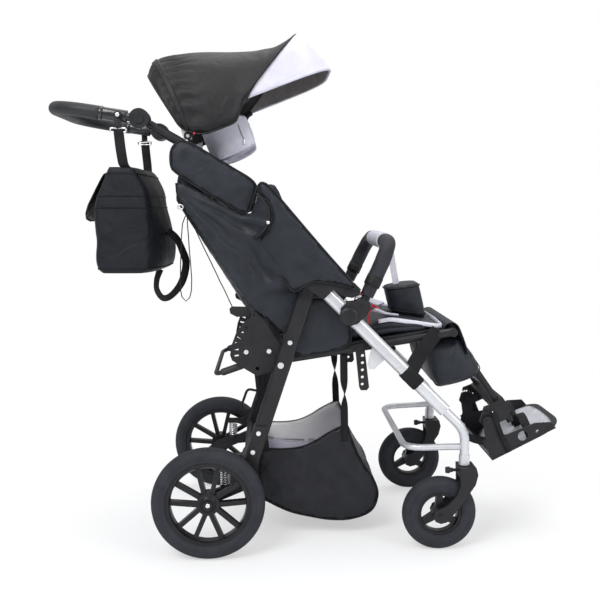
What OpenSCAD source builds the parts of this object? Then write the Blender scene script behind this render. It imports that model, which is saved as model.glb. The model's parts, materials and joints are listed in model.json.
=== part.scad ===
// Special needs buggy, in millimetres. X is forward, Z is up, the right side is -Y.
// Shapes are drawn with X counted from the rear axle; place() moves them to the part's own origin,
// the middle of its footprint on the floor.

/* [Wheels] */
// Rear wheel radius
rear_r = 145; // [135:1:150]
// Rear tyre width
rear_tyre_w = 46; // [38:1:48]
// Distance between the rear wheel planes
rear_track = 550; // [548:1:570]
// Front wheel radius
front_r = 97; // [90:1:99]
// Front tyre width
front_tyre_w = 40; // [32:1:42]
// Distance between the front wheel planes
front_track = 468; // [462:1:474]

/* [Frame] */
// In-plane width of the silver front tubes
tube_w = 34; // [28:1:36]
// Width of the black rear legs
leg_w = 41; // [34:1:42]
// Height of the fold pivot above the floor
fold_z = 706; // [700:1:712]

/* [Seat] */
// Seat tilt in degrees, front up
seat_tilt = 8.84; // [6:0.1:11]
// Cushion thickness
cushion_t = 44; // [36:1:48]

/* [Backrest] */
// Backrest lean from upright in degrees
back_lean = 21.35; // [18:0.1:24]
// Front thickness of the back pad
back_front_t = 25; // [18:1:30]

/* [Handle and hood] */
// Push handle length from its knob
handle_len = 232; // [220:1:300]
// Radius of the foam grip
grip_r = 17; // [14:1:19]
// Hood half width
hood_w = 185; // [184:1:188]

/* [Leg rest] */
// Leg rest angle from vertical in degrees
leg_swing = 35; // [28:1:42]
// Half width of the calf pad
calf_w = 166; // [140:1:167]
// Foot plate half width
foot_w = 134; // [130:1:150]

/* [Bag and basket] */
// Bag half width
bag_w = 206; // [190:1:206]
// Basket wall thickness
basket_wall = 3; // [2:0.5:5]

/* [Hidden] */
$fn = 64;
ty = front_track / 2;
wy = rear_track / 2;
ly = ty - 24;
tube_t = 24;
leg_t = 22;
arm_y = wy - 39;
rail_y = 178;
rail_r = 11;
knee = [640, 566];
fold = [264, fold_z];
recline = [156, 522];
wheelbase = 600;
trail = 64;
steer_x = wheelbase + trail;
knob_t = -83;
knob_s = 666;
hook_x = -51;
handle_rise = 8.3;
pivot_p = [108, 186];
spring_x = 42;
bumper_p = [392, 642];
bumper_top = [466, 803];
basket_w = 140;
ankle = [-54.6, -273];
foot_tilt = 27;
hood_p = [-47, 1073];
fit = 0.06;
black = [0.09, 0.09, 0.1];
grey = [0.62, 0.61, 0.66];
silver = [0.8, 0.81, 0.83];
dark = [0.2, 0.2, 0.22];

// Handle tail and foot plate toe give the footprint's middle
knob_x = recline[0] + knob_t * cos(back_lean) - knob_s * sin(back_lean);
back_end = knob_x - handle_len * cos(handle_rise) - 0.993 * grip_r;
front_end = knee[0] + ankle[0] * cos(leg_swing) - ankle[1] * sin(leg_swing) + 15 + 220 * cos(foot_tilt);
mid_x = (back_end + front_end) / 2;

function along(a, b, f) = a + (b - a) * f;
function unit(v) = v / norm(v);
function sgnpow(v, e) = (v < 0 ? -1 : 1) * pow(abs(v), e);
function ring_pts(n, e) = [for (i = [0:n - 1])
    [sgnpow(cos(360 * i / n), 2 / e), sgnpow(sin(360 * i / n), 2 / e)]];
function rrect(w, h, r, n) = [for (k = [0:3], i = [0:n])
    [(k == 0 || k == 3 ? 1 : -1) * (w / 2 - r) + r * cos(90 * k + 90 * i / n),
     (k < 2 ? 1 : -1) * (h / 2 - r) + r * sin(90 * k + 90 * i / n)]];
function flip(p) = [for (i = [len(p) - 1:-1:0]) p[i]];

module place() {
    translate([-mid_x, 0, 0]) children();
}

module both() {
    children();
    mirror([0, 1, 0]) children();
}

module left() {
    mirror([0, 1, 0]) children();
}

// Round bar between two points
module seg(a, b, r) {
    d = b - a;
    translate(a) rotate([0, acos(d[2] / norm(d)), atan2(d[1], d[0])])
        cylinder(r = r, h = norm(d));
}

// Round bar along Y from y0 to y1
module ypin(x, z, y0, y1, r) {
    translate([x, y0, z]) rotate([-90, 0, 0]) cylinder(r = r, h = y1 - y0);
}

// Flat plate with an outline in X and Z, from y0 to y1
module plate(pts, y0, y1) {
    translate([0, y1, 0]) rotate([90, 0, 0]) linear_extrude(y1 - y0) polygon(pts);
}

// Points of a bent line: straight stretches with arcs of radius b, k steps each, at the inner points
function bent(pts, b, k) = let (n = len(pts)) concat([pts[0]], [for (i = [1:n - 2]) let (
        d1 = unit(pts[i] - pts[i - 1]),
        d2 = unit(pts[i + 1] - pts[i]),
        a = acos(d1 * d2),
        m = unit(d2 - d1 * (d1 * d2)),
        c = pts[i] - d1 * b * tan(a / 2) + m * b
    ) for (j = [0:k]) c + b * (d1 * sin(a * j / k) - m * cos(a * j / k))], [pts[n - 1]]);

// Round bar along a bent line that lies in the plane with normal w
module run(pts, r, b, w, sides = 20, k = 5) {
    q = bent(pts, b, k);
    n = len(q);
    loft([for (i = [0:n - 1]) let (
        t = i == 0 ? unit(q[1] - q[0]) : i == n - 1 ? unit(q[n - 1] - q[n - 2])
            : unit(unit(q[i] - q[i - 1]) + unit(q[i + 1] - q[i])),
        o = unit(cross(t, w)),
        u = cross(t, o),
        g = r / (i == 0 || i == n - 1 ? 1 : t * unit(q[i + 1] - q[i]))
    ) [for (j = [0:sides - 1]) q[i] + g * o * cos(360 * j / sides) + r * u * sin(360 * j / sides)]]);
}

// Solid through closed rings of points, all with the same even count
module loft(rings) {
    m = len(rings);
    n = len(rings[0]);
    polyhedron(
        points = [for (r = rings, p = r) p],
        faces = concat(
            [for (j = [0:n / 2 - 2], k = [0, 1]) k == 0 ? [j, j + 1, n - 1 - j] : [j + 1, n - 2 - j, n - 1 - j]],
            [for (i = [0:m - 2], j = [0:n - 1]) [i * n + j, (i + 1) * n + j, i * n + (j + 1) % n]],
            [for (i = [0:m - 2], j = [0:n - 1])
                [i * n + (j + 1) % n, (i + 1) * n + j, (i + 1) * n + (j + 1) % n]],
            [for (j = [0:n / 2 - 2], k = [0, 1], e = (m - 1) * n)
                k == 0 ? [e + n - 1 - j, e + j + 1, e + j] : [e + n - 1 - j, e + n - 2 - j, e + j + 1]]));
}

// Rounded end factor: 0 at the ends, 1 in the middle
function bulge(v, k) = pow(1 - pow(abs(2 * v - 1), k), 1 / k);
// Shallow channel of depth d around the place c
function channel(v, c, w, d) = d * exp(-pow((v - c) / w, 2));

// Wheels, drawn with the axle along local Z and the outer side up
module at_rear_wheel() {
    translate([0, -wy, rear_r]) rotate([90, 0, 0]) children();
}

module at_front_wheel() {
    translate([wheelbase, -ty, front_r]) rotate([90, 0, 0]) children();
}

module tyre(r, ri, w) {
    h = w / 2;
    rotate_extrude($fn = 96) polygon([[ri, -h * 0.74], [ri + 5, -h * 0.86], [ri + (r - ri) * 0.35, -h],
        [ri + (r - ri) * 0.6, -h * 0.99], [ri + (r - ri) * 0.78, -h * 0.86],
        [ri + (r - ri) * 0.9, -h * 0.66], [r - 1.2, -h * 0.4], [r, -h * 0.16], [r, h * 0.16],
        [r - 1.2, h * 0.4], [ri + (r - ri) * 0.9, h * 0.66], [ri + (r - ri) * 0.78, h * 0.86],
        [ri + (r - ri) * 0.6, h * 0.99], [ri + (r - ri) * 0.35, h], [ri + 5, h * 0.86],
        [ri, h * 0.74]]);
}

module rear_tyre() {
    color(dark) at_rear_wheel() tyre(rear_r, rear_r - 38, rear_tyre_w);
}

// Rim with five forked spoke pairs, hub and cap
module rear_rim() {
    ro = rear_r - 38;
    color(black) at_rear_wheel() difference() {
        union() {
            rotate_extrude() polygon([[ro - 11, -12], [ro - 8, -17], [ro, -17], [ro, 17], [ro - 8, 17],
                [ro - 11, 12]]);
            for (k = [0:4], s = [-1, 1]) rotate(90 + 72 * k) translate([0, 0, -8])
                linear_extrude(17) polygon([[22, s * 3], [24, s * 16], [ro - 9, s * 33], [ro - 9, s * 21]]);
            translate([0, 0, -24]) cylinder(r = 29, h = 36);
            translate([0, 0, 11]) cylinder(r1 = 22, r2 = 17, h = 5);
            translate([0, 0, 15.5]) cylinder(r1 = 15, r2 = 12, h = 5.5);
        }
        translate([0, 0, -25]) cylinder(r = 6 + fit, h = 38);
    }
}

module front_tyre() {
    color(dark) at_front_wheel() tyre(front_r, front_r - 41, front_tyre_w);
}

module front_rim() {
    ro = front_r - 41;
    color(black) at_front_wheel() difference() {
        union() {
            rotate_extrude() polygon([[ro - 8, -11], [ro - 6, -14], [ro, -14], [ro, 14], [ro - 6, 14], [ro - 8, 11]]);
            for (k = [0:2]) rotate(90 + 120 * k) translate([0, 0, -8])
                linear_extrude(16) polygon([[10, -11], [ro - 7, -8], [ro - 7, 8], [10, 11]]);
            translate([0, 0, -18]) cylinder(r = 17, h = 36);
        }
        translate([0, 0, -20]) cylinder(r = 5 + fit, h = 40);
    }
}

// Front caster: crown, two cheeks, axle and stem
module caster_fork() {
    half = front_tyre_w / 2 + 3;
    x0 = wheelbase;
    x1 = steer_x;
    cheek = [[x1 - 16, 224], [x1 + 26, 224], [x1 + 31, 206], [x1 + 25, 180], [x1 + 4, 148], [x0 + 40, 108],
        [x0 + 16, 80], [x0, 76], [x0 - 14, 82], [x0 - 18, 97], [x0 - 12, 111], [x0 + 4, 118], [x0 + 20, 126],
        [x1 - 24, 150], [x1 - 14, 178]];
    color(black) difference() {
        union() {
            plate(cheek, -ty - half - 7, -ty - half);
            plate(cheek, -ty + half, -ty + half + 7);
            plate([[x1 - 16, 198], [x1 - 16, 224], [x1 + 26, 224], [x1 + 30, 206], [x1 + 24, 189], [x1, 196]],
                -ty - half, -ty + half);
            ypin(x0, front_r, -ty - half - 11, -ty + half + 9, 5);
            translate([x1, -ty, 223]) cylinder(r = 8, h = 40);
        }
        translate([x1 - 34, -ty, 211]) rotate([0, 90, 0]) cylinder(r = 4 + fit, h = 30);
    }
}

module swivel_lock() {
    color(dark) translate([steer_x - 48, -ty, 211]) rotate([0, 90, 0]) {
        translate([0, 0, 16]) cylinder(r = 4, h = 20);
        cylinder(r1 = 8, r2 = 9, h = 10);
        translate([0, 0, 10]) cylinder(r = 6, h = 8);
    }
}

// Silver front tube: oval upper part with the seat gusset, swaged round lower part with a bend, caster socket
module front_tube() {
    color(silver) difference() {
        union() {
            translate([306, -ty, 674]) rotate([0, 135, 0]) linear_extrude(430)
                polygon(rrect(tube_w, tube_t, 11.9, 8));
            run([[596, -ty, 384], [steer_x, -ty, 316], [steer_x, -ty, 240]], 12, 70, [0, 1, 0], 24, 6);
            translate([steer_x, -ty, 226]) cylinder(r = 14, h = 26);
            plate([[428, 556], [446, 556], [466, 530], [466, 514], [428, 478], [415, 478], [410, 488], [417, 520]],
                -ty + 11, -ty + 15);
        }
        translate([steer_x, -ty, 225]) cylinder(r = 8 + fit, h = 40);
    }
}

module front_cross_bar() {
    color(silver) difference() {
        run([[steer_x - 2, -ty + 4, 272], [steer_x - 152, -ty + 16, 267], [steer_x - 152, ty - 16, 267],
            [steer_x - 2, ty - 4, 272]], 8.5, 45, [-5, 0, 150], 16);
        both() translate([steer_x, -ty, 220]) cylinder(r = 12, h = 80);
    }
}

// Hinge casting at the top of each front tube, with the fold pin
module hinge_castings() {
    c = (tube_w / 2) * sin(45);
    color(black) both() {
        plate([[262, 684], [242, 700], [246, 726], [284, 728], [330, 716], [372, 704], [388, 688], [384, 673],
            [366, 666], [345, 670], [306 + c, 674 + c], [306 - c, 674 - c]], -ty - 17, -ty - 12);
        plate([[262, 684], [242, 700], [246, 726], [284, 728], [306 + c, 674 + c], [306 - c, 674 - c]],
            -ty - 12, -ty + 12);
        ypin(fold[0], fold[1], -ty + 11, -ly + leg_t / 2 + 0.5, 8);
        ypin(357, 684, -ty - 19, -ty - 16, 6);
    }
}

// Rear leg with the bore of the fold pin
module rear_leg() {
    foot = [103, 219];
    lean = atan2(fold[0] - foot[0], fold[1] - foot[1]);
    color(black) difference() {
        union() {
            translate([foot[0], -ly, foot[1]]) rotate([0, lean, 0])
                linear_extrude(norm(fold - foot)) polygon(rrect(leg_w, leg_t, 9, 6));
            ypin(fold[0], fold[1], -ly - leg_t / 2, -ly + leg_t / 2, leg_w / 2);
        }
        ypin(fold[0], fold[1], -ly - 20, -ly + 20, 8 + fit);
    }
}

module rear_leg_left() {
    left() rear_leg();
    color(black) left() run([[126, -ly, 322], [88, -ly, 330], [66, -ly, 268], [108, -ly, 262]], 4, 12, [0, 1, 0], 10, 3);
}

module rear_cross_tube() {
    color(black) ypin(100, 222, -ly + leg_t / 2, ly - leg_t / 2, 13);
}

// Plate on the leg's outer face with the arm's pivot pin and the spring's upper seat
module rear_brackets() {
    y0 = -ly - leg_t / 2;
    color(black) both() {
        plate([[150, 330], [118, 330], [96, 250], [70, 236], [30, 232], [26, 220], [56, 218], [88, 206], [94, 176],
            [108, 170], [124, 178], [128, 250]], y0 - 5, y0);
        ypin(pivot_p[0], pivot_p[1], -arm_y - 12, y0 - 4, 6);
        ypin(pivot_p[0], pivot_p[1], -arm_y - 13, -arm_y - 9, 9);
        translate([spring_x, -arm_y, 218]) cylinder(r = 14, h = 6);
        plate([[30, 220], [54, 220], [54, 232], [30, 232]], -arm_y, y0 - 4);
    }
}

module rear_bolts() {
    y0 = -ly - leg_t / 2;
    color(silver) both() {
        ypin(186, 489, y0 - 4, y0, 8);
        ypin(210, 548, y0 - 3, y0, 6);
        ypin(128, 312, y0 - 9, y0 - 5, 6);
        ypin(113, 262, y0 - 9, y0 - 5, 6);
    }
}

module swing_arm() {
    y0 = -arm_y - 8;
    y1 = -arm_y + 8;
    p = pivot_p;
    color(black) difference() {
        union() {
            plate([[p[0] - 2, p[1] - 14], [p[0] + 2, p[1] + 14], [60, 178], [24, 171], [-4, rear_r + 15],
                [4, rear_r - 16]], y0, y1);
            ypin(p[0], p[1], y0, y1, 16);
            ypin(0, rear_r, y0, y1, 18);
            ypin(0, rear_r, -wy - 11, y0 + 1, 6);
            translate([spring_x, -arm_y, 170]) cylinder(r = 14.5, h = 7);
        }
        ypin(p[0], p[1], y0 - 1, y1 + 1, 6 + fit);
    }
}

// Suspension spring: one wire of six curls
spring_lo = 177;
spring_hi = 218;
wire = 2.1;
curls = 6;
function coil_pt(i) = [spring_x + 11 * cos(45 * i), -arm_y + 11 * sin(45 * i),
    along(spring_lo + wire, spring_hi - wire, i / (8 * curls))];
coil_gap = min([for (i = [0:8 * curls], j = [i + 4:1:8 * curls]) norm(coil_pt(i) - coil_pt(j))]) - 2 * wire;
echo(spring_least_gap_mm = coil_gap);

module spring() {
    n = 8 * curls;
    color(silver) loft([for (i = [0:n]) let (
        a = coil_pt(i),
        t = unit([-11 * sin(45 * i), 11 * cos(45 * i), (spring_hi - spring_lo - 2 * wire) / (2 * PI * curls)]),
        o = [cos(45 * i), sin(45 * i), 0],
        u = cross(t, o)
    ) [for (j = [0:5]) a + wire * (o * cos(60 * j) + u * sin(60 * j))]]);
}

module brake_pedal() {
    color(black) difference() {
        union() {
            ypin(100, 222, -170, -96, 19);
            plate([[96, 232], [-30, 214], [-62, 212], [-64, 202], [-30, 200], [96, 208]], -146, -118);
            plate([[-34, 212], [-66, 212], [-68, 200], [-34, 200]], -178, -92);
        }
        ypin(100, 222, -180, -80, 13 + fit);
    }
}

// Where the seat rail crosses the front tube, counted along the seat
cross_x = (980 - knee[1] - knee[0]) / (1 + tan(seat_tilt)) / cos(seat_tilt);

// Seat, drawn from the knee axis with X along the seat
module seat_at() {
    translate([knee[0], 0, knee[1]]) rotate([0, -seat_tilt, 0]) children();
}

module seat_frame() {
    color(black) seat_at() {
        both() seg([-455, -rail_y, 0], [0, -rail_y, 0], rail_r);
        ypin(0, 0, -rail_y - rail_r, rail_y + rail_r, rail_r);
        ypin(-440, 0, -rail_y, rail_y, 9);
        both() ypin(cross_x, 0, -ty + 15, -rail_y, 9);
    }
}

module seat_pan() {
    color(black) seat_at() plate([[-446, rail_r], [-40, rail_r], [-34, rail_r + 3], [-40, rail_r + 6], [-446, rail_r + 6]],
        -182, 182);
}

// Cushion with drawn-in sides and a cross channel; its top falls to a thin front edge
seat_lo = rail_r + 6;
seat_edge = 6;
seat_st = [for (i = [0:18]) along(0.012, 0.988, i / 18)];
function seat_x(v) = along(-420, -26, v);
function seat_h(v) = along(cushion_t, seat_edge, max(0, (seat_x(v) + 157) / 131));
function seat_top(x) = seat_lo + lookup(x, [for (v = seat_st) [seat_x(v), seat_h(v) * bulge(v, 5)]]);

module seat_cushion() {
    shape = ring_pts(28, 4.4);
    color(black) seat_at() loft([for (v = seat_st) let (
        f = bulge(v, 5),
        g = 1 - channel(v, 0.36, 0.03, 0.1),
        half = seat_h(v) * f / 2
    ) [for (p = shape) [seat_x(v), p[0] * (152 + 20 * f), seat_lo + half + half * p[1] * (p[1] > 0 ? g : 1)]]]);
}

module side_guards() {
    color(black) both() plate([[206, 500], [366, 525], [372, 570], [352, 625], [318, 652], [272, 664], [232, 640],
        [206, 580]], -rail_y - rail_r - 6, -rail_y - rail_r);
}

// Radial index slot in the recline plate at the angle a
function index_slot(a) = [for (q = [[79, -2.2], [90, -2.2], [90, 2.2], [79, 2.2]])
    recline + [cos(a), sin(a)] * q[0] + [-sin(a), cos(a)] * q[1]];

// Recline side plate with index slots and pivot pin, and the perforated bracket
module seat_side_plates() {
    y0 = -rail_y - rail_r - 6;
    y1 = -rail_y - rail_r;
    color(black) both() {
        difference() {
            union() {
                plate([[120, 615], [102, 606], [84, 588], [70, 567], [60, 540], [55, 512], [60, 498], [98, 472],
                    [125, 456], [160, 468], [203, 486], [203, 516], [186, 536], [168, 562], [146, 600], [132, 615]],
                    y0, y1);
                ypin(recline[0], recline[1], y1 - 1, -164, 8);
                ypin(recline[0], recline[1], y0 - 3, y0 + 1, 11);
                ypin(100, 486, y1 - 1, -167, 5);
            }
            for (k = [0:5]) plate(index_slot(133 + 11 * k), y0 - 5, y1 + 5);
            ypin(126, 476, y0 - 5, y1 + 5, 5);
        }
        difference() {
            plate([[380, 534], [404, 538], [418, 424], [412, 416], [396, 416], [392, 424]], y0, y1);
            for (k = [0:4]) ypin(400, 432 + 19 * k, y0 - 5, y1 + 5, 4);
        }
    }
}

// Abductor block on the falling part of the cushion, leaning back a little
module abductor_pad() {
    shape = ring_pts(24, 3.6);
    color(black) seat_at() loft([for (i = [0:10]) let (
        v = i / 10,
        f = bulge(along(0.02, 0.98, v), 5)
    ) [for (p = shape) let (x = along(-86, -94, v) + p[0] * (40 + 10 * f))
        [x, p[1] * (46 + 10 * f), along(seat_top(x) + 0.05, 130, v)]]]);
}

// Clamp plates on the front tube, with the bumper's pivot pin and the round cap
module bumper_clamps() {
    outline = [[338, 640], [352, 654], [372, 656], [392, 664], [410, 656], [414, 640], [404, 622], [380, 600],
        [360, 594], [342, 604], [335, 622]];
    b = bumper_p;
    color(black) both() {
        plate(outline, -ty - 18, -ty - 12);
        plate(outline, -ty + 12, -ty + 18);
        ypin(b[0], b[1], -ty - 13, -ty + 13, 7);
        ypin(b[0] + 3, b[1] + 1, -ty - 20, -ty - 17, 6);
        translate([358, -ty - 17, 620]) rotate([90, 0, 0]) {
            cylinder(r = 23, h = 5);
            translate([0, 0, 5]) cylinder(r1 = 23, r2 = 16, h = 4);
        }
    }
}

module bumper_sockets() {
    b = bumper_p;
    t = [bumper_top[0], -ty + 8, bumper_top[1]];
    d = unit(t - [b[0], -ty, b[1]]);
    a = [b[0], -ty, b[1]];
    color(black) both() difference() {
        union() {
            ypin(b[0], b[1], -ty - 11.5, -ty + 11.5, 19);
            seg(a + d * 6, a + d * 40, 11);
            seg(a + d * 34, a + d * 58, 15);
        }
        ypin(b[0], b[1], -ty - 40, -ty + 40, 7 + fit);
    }
}

module bumper_pad() {
    b = bumper_p;
    t = [bumper_top[0], -ty + 8, bumper_top[1]];
    a = [b[0], -ty, b[1]];
    d = unit(t - a);
    s = a + d * 58;
    color(dark) run([s, t, [t[0], -t[1], t[2]], [s[0], -s[1], s[2]]], 20, 72, cross(d, [0, 1, 0]), 24, 7);
}

// Open storage basket, an outer box of cloth less its inside
basket_side = [[136, 248], [126, 180], [135, 112], [157, 94], [211, 68], [266, 54], [321, 44], [380, 45],
    [433, 66], [452, 110], [441, 153], [418, 187], [393, 233], [368, 300], [360, 308], [314, 286], [279, 264],
    [239, 248], [185, 243]];

module basket() {
    w = basket_wall;
    c = [290, 190];
    color(black) difference() {
        plate(basket_side, -basket_w, basket_w);
        plate(concat([for (p = [for (i = [1:12]) basket_side[i]]) p + unit(c - p) * w * 1.5],
            [[353 - 2 * w, 340], [150 + 2 * w, 340]]), -basket_w + w, basket_w - w);
    }
}

// Flat strap through cross sections given by [x, y, z], 16 wide and 3 thick
module strap(sections) {
    loft([for (q = sections) [[q[0], q[1], q[2]], [q[0], q[1] + 3, q[2]], [q[0] + 16, q[1] + 3, q[2]],
        [q[0] + 16, q[1], q[2]]]]);
}

// Slanting straps from the seat rails and side plates down to the basket's sides
module basket_straps() {
    zr = knee[1] - (knee[0] - 344) * tan(seat_tilt) - rail_r / cos(seat_tilt);
    y1 = -rail_y - rail_r;
    color(black) both() {
        strap([[344, -rail_y - 1.5, zr], [346, -basket_w - 3, 300], [352, -basket_w - 3, 262]]);
        strap([[116, y1, 482], [116, y1, 470], [139, -basket_w - 3, 248], [140, -basket_w - 3, 236]]);
    }
}

module chassis_fasteners() {
    color(silver) both() {
        for (k = [0:2]) translate([306, -ty - 12, 674]) rotate([0, 135, 0]) translate([0, 0, 175 + 80 * k])
            rotate([90, 0, 0]) cylinder(r = 3.5, h = 2);
        ypin(97, 520, -rail_y - rail_r - 9, -rail_y - rail_r - 6, 6);
        ypin(recline[0], recline[1], -rail_y - rail_r - 9.7, -rail_y - rail_r - 9, 6);
    }
}

// Backrest, drawn from the recline pivot with Z up along the back
module back_at() {
    translate([recline[0], 0, recline[1]]) rotate([0, -back_lean, 0]) children();
}

// Back tubes with their pivots, the knob seats, the top bar and the cord's tie plates
module back_frame() {
    color(black) back_at() {
        both() difference() {
            union() {
                run([[0, -176, 0], [0, -176, 566], [knob_t, -176, knob_s]], 11, 60, [0, 1, 0]);
                ypin(0, 0, -188, -164, 16);
                ypin(knob_t, knob_s, -189.5, -163, 24);
                ypin(knob_t, knob_s, -198, -188, 8);
            }
            ypin(0, 0, -200, -150, 8 + fit);
        }
        ypin(-18, 552, -172, 172, 9);
        both() plate([[-5, 96], [-46, 112], [-58, 126], [-56, 138], [-48, 142], [-5, 124]], -178.5, -173.5);
    }
}

// Back pad: firm front, gathered cloth behind that hangs deeper toward the top
module back_pad() {
    shape = ring_pts(28, 6);
    color(black) back_at() loft([for (i = [0:20]) let (
        v = along(0.012, 0.988, i / 20),
        f = bulge(v, 6),
        s = along(58, 524, v),
        g = 1 - channel(v, 0.3, 0.03, 0.16) - channel(v, 0.6, 0.03, 0.16),
        r = (v < 0.84 ? along(6, 86, v / 0.84) : along(86, 58, (v - 0.84) / 0.16)) + 1.5 * sin(v * 1900)
    ) [for (p = shape) [p[1] * (p[1] > 0 ? -r : -back_front_t * g) * f, p[0] * 164.5 * (0.9 + 0.1 * f), s]]]);
}

// Lower side wing: from the back tube it swings outside the folding frame
module back_wings() {
    w = 10;
    in_y = -187;
    out_y = -ty - 20;
    outline = [[-4, 150], [60, 142], [98, 134], [113, 127], [121, 123], [149, 133], [188, 129], [243, 99], [262, 72],
        [271, 60], [272, 82], [234, 178], [195, 283], [156, 388], [139, 410], [126, 400], [123, 385], [136, 351],
        [132, 321], [109, 296], [80, 289], [60, 282], [-4, 300]];
    section = [[-12, in_y], [64, in_y], [138, out_y], [290, out_y], [290, out_y - w], [134, out_y - w],
        [60, in_y - w], [-12, in_y - w]];
    color(black) back_at() both() intersection() {
        translate([0, 0, 20]) linear_extrude(420) polygon(section);
        plate(outline, -300, -150);
    }
}

module top_wings() {
    outline = [[0, 580], [-24, 580], [-44, 566], [-58, 528], [-52, 512], [-3, 442], [62, 360], [76, 352], [88, 354],
        [112, 388], [134, 412], [79, 481], [34, 540]];
    color(black) back_at() both() plate(outline, -197, -187);
}

// Inner face of the visor's side bows
bow_y = hood_w - 12.2;

// Hood clip with its pivot pin on each back tube, and the headrest's guide
module backrest_hardware() {
    color(silver) {
        both() {
            plate([[-57, 1063.8], [-37, 1063.8], [-37, 1082], [-48, 1103], [-64, 1103], [-64, 1085]],
                -bow_y + 0.5, -bow_y + 10.5);
            ypin(-58, 1097, -hood_w + 3.4, -bow_y + 1, 3);
            ypin(hood_p[0], hood_p[1], -bow_y - 3, -bow_y + 1, 4);
        }
        back_at() difference() {
            translate([-9, -32, 536]) cube([18, 64, 40]);
            translate([-3.4, -20.4, 530]) cube([6.8, 40.8, 60]);
        }
    }
}

module headrest_bracket() {
    color(dark) back_at() {
        translate([-3, -20, 533]) cube([6, 40, 79]);
        translate([2, -20, 577.5]) cube([39.1, 40, 28.5]);
    }
}

// Headrest: a crowned cushion bent round the head, with drawn-in edges
module headrest_pad() {
    shape = ring_pts(24, 3.2);
    color(grey) back_at() loft([for (i = [0:20]) let (
        v = along(0.012, 0.988, i / 20),
        f = bulge(v, 7),
        a = along(90, -90, v),
        q = abs(2 * v - 1),
        y = 118 * sgnpow(sin(a), 0.7),
        t = 62 + 116 * pow(q, 4),
        n = unit([1, -sgnpow(sin(a), 1) * 3.4 * pow(q, 2), 0]),
        up = 566 - 18 * pow(q, 2)
    ) [for (p = shape) [t + n[0] * p[0] * 21 * f, y + n[1] * p[0] * 21 * f, up + p[1] * (66 * f - channel(v, 0.5, 0.02, 4))]]]);
}

// Hood bows from rear to front: [base x, base z, crown x, crown z]
bows = [[-70, 1100, -163, 1243], [-63, 1093, -151, 1273], [-50, 1088, -118, 1292], [-22, 1086, -48, 1302],
    [12, 1088, 32, 1306], [48, 1096, 110, 1309], [72, 1106, 150, 1312], [82, 1124, 186, 1318], [91, 1160, 234, 1346]];
visor_bows = [[94.5, 1161, 237.5, 1347], [97, 1164, 262, 1330], [101, 1166, 292, 1294], [106, 1168, 322, 1251]];

// Arch of a bow, rounder with a larger exponent e
function arch(b, w, t, n, e) = [for (i = [0:n]) let (
    a = 180 * i / n,
    k = sgnpow(sin(a), e)
) [b[0] + (b[2] - b[0]) * k * (1 - t / 260), (w - t) * sgnpow(cos(a), e), b[1] + (b[3] - b[1]) * k * (1 - t / 260)]];
function bow_ring(b, w, n, e) = concat(arch(b, w, 0, n, e), flip(arch(b, w, 3, n, e)));

module hood_canopy() {
    color(black) loft([for (i = [0:8]) bow_ring(bows[i], hood_w, 22, along(0.82, 0.6, min(1, i / 7)))]);
}

// Visor cloth with the flat side bows that reach its pivots
module hood_visor() {
    p = hood_p;
    color(grey) loft([for (i = [0:3]) bow_ring(visor_bows[i], hood_w - 6, 22, along(0.6, 0.45, i / 3))]);
    color(black) both() difference() {
        union() {
            plate([[p[0] - 7, p[1]], [p[0], p[1] - 7], [p[0] + 9, p[1] - 4], [110, 1160], [101, 1173],
                [p[0] - 2, p[1] + 8]], -bow_y - 2.5, -bow_y);
            plate([[100, 1168], [112, 1176], [113, 1164], [102, 1160]], -hood_w + 7.4, -bow_y);
        }
        ypin(p[0], p[1], -200, -160, 4 + fit);
    }
}

// Elastic cords behind the back, by hand-set points from the cloth outward
loop_route = [[-57, -135, 874], [-62, -136, 866], [-68, -136, 850], [-71, -137, 820], [-73, -137, 780],
    [-75, -137, 740], [-76, -137, 700], [-76, -136, 676], [-73, -135, 658], [-63, -133, 646], [-53, -131, 655],
    [-48, -130, 675], [-47, -130, 705], [-49, -129, 740], [-52, -129, 780], [-54, -129, 820], [-56, -129, 850],
    [-56, -129, 870]];
stay_route = [[-52, -150, 875], [-44, -152, 858], [-36, -153, 841], [-28, -155, 824], [-20, -156, 806],
    [-12, -158, 789], [-4, -159, 772], [5, -161, 754], [13, -163, 737], [21, -164, 720], [29, -166, 702],
    [38, -167, 685], [46, -169, 668], [54, -170, 650], [62, -172, 633], [65, -174, 628]];
cord_r = 1.4;

module cord(pts, r) {
    n = len(pts);
    color(black) loft([for (i = [0:n - 1]) let (
        t = unit(pts[min(i + 1, n - 1)] - pts[max(i - 1, 0)]),
        o = unit(cross(t, [0, 1, 0])),
        u = cross(t, o)
    ) [for (j = [0:7]) pts[i] + r * (o * cos(45 * j) + u * sin(45 * j))]]);
}

module cord_loop() {
    cord(loop_route, cord_r);
}

module cord_stay() {
    cord(stay_route, cord_r);
}

// Push handle, drawn from its knob with X forward along the arms
module handle_at() {
    back_at() translate([knob_t, 0, knob_s]) rotate([0, back_lean + handle_rise, 0]) children();
}

module handle_loop() {
    color(black) handle_at() both() difference() {
        union() {
            ypin(0, 0, -212, -190, 25);
            seg([-18, -201, 0], [-98, -201, 0], 10.5);
            ypin(hook_x, 0, -221, -201, 4);
            ypin(hook_x, 0, -224, -220, 7);
        }
        ypin(0, 0, -198.5, -180, 8 + fit);
        ypin(0, 0, -230, -204, 12 + fit);
    }
}

module handle_grip() {
    color(dark) handle_at() run([[-98, -201, 0], [-handle_len, -201, 0], [-handle_len, 201, 0], [-98, 201, 0]],
        grip_r, 105, [0, 0, 1], 24, 8);
}

module handle_button() {
    color(dark) handle_at() {
        ypin(0, 0, -217, -208.2, 12);
    }
}

// Bag: a soft box with a bulging front
module bag_at() {
    handle_at() translate([hook_x, 0, 0]) rotate([0, -handle_rise, 0]) children();
}

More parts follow.
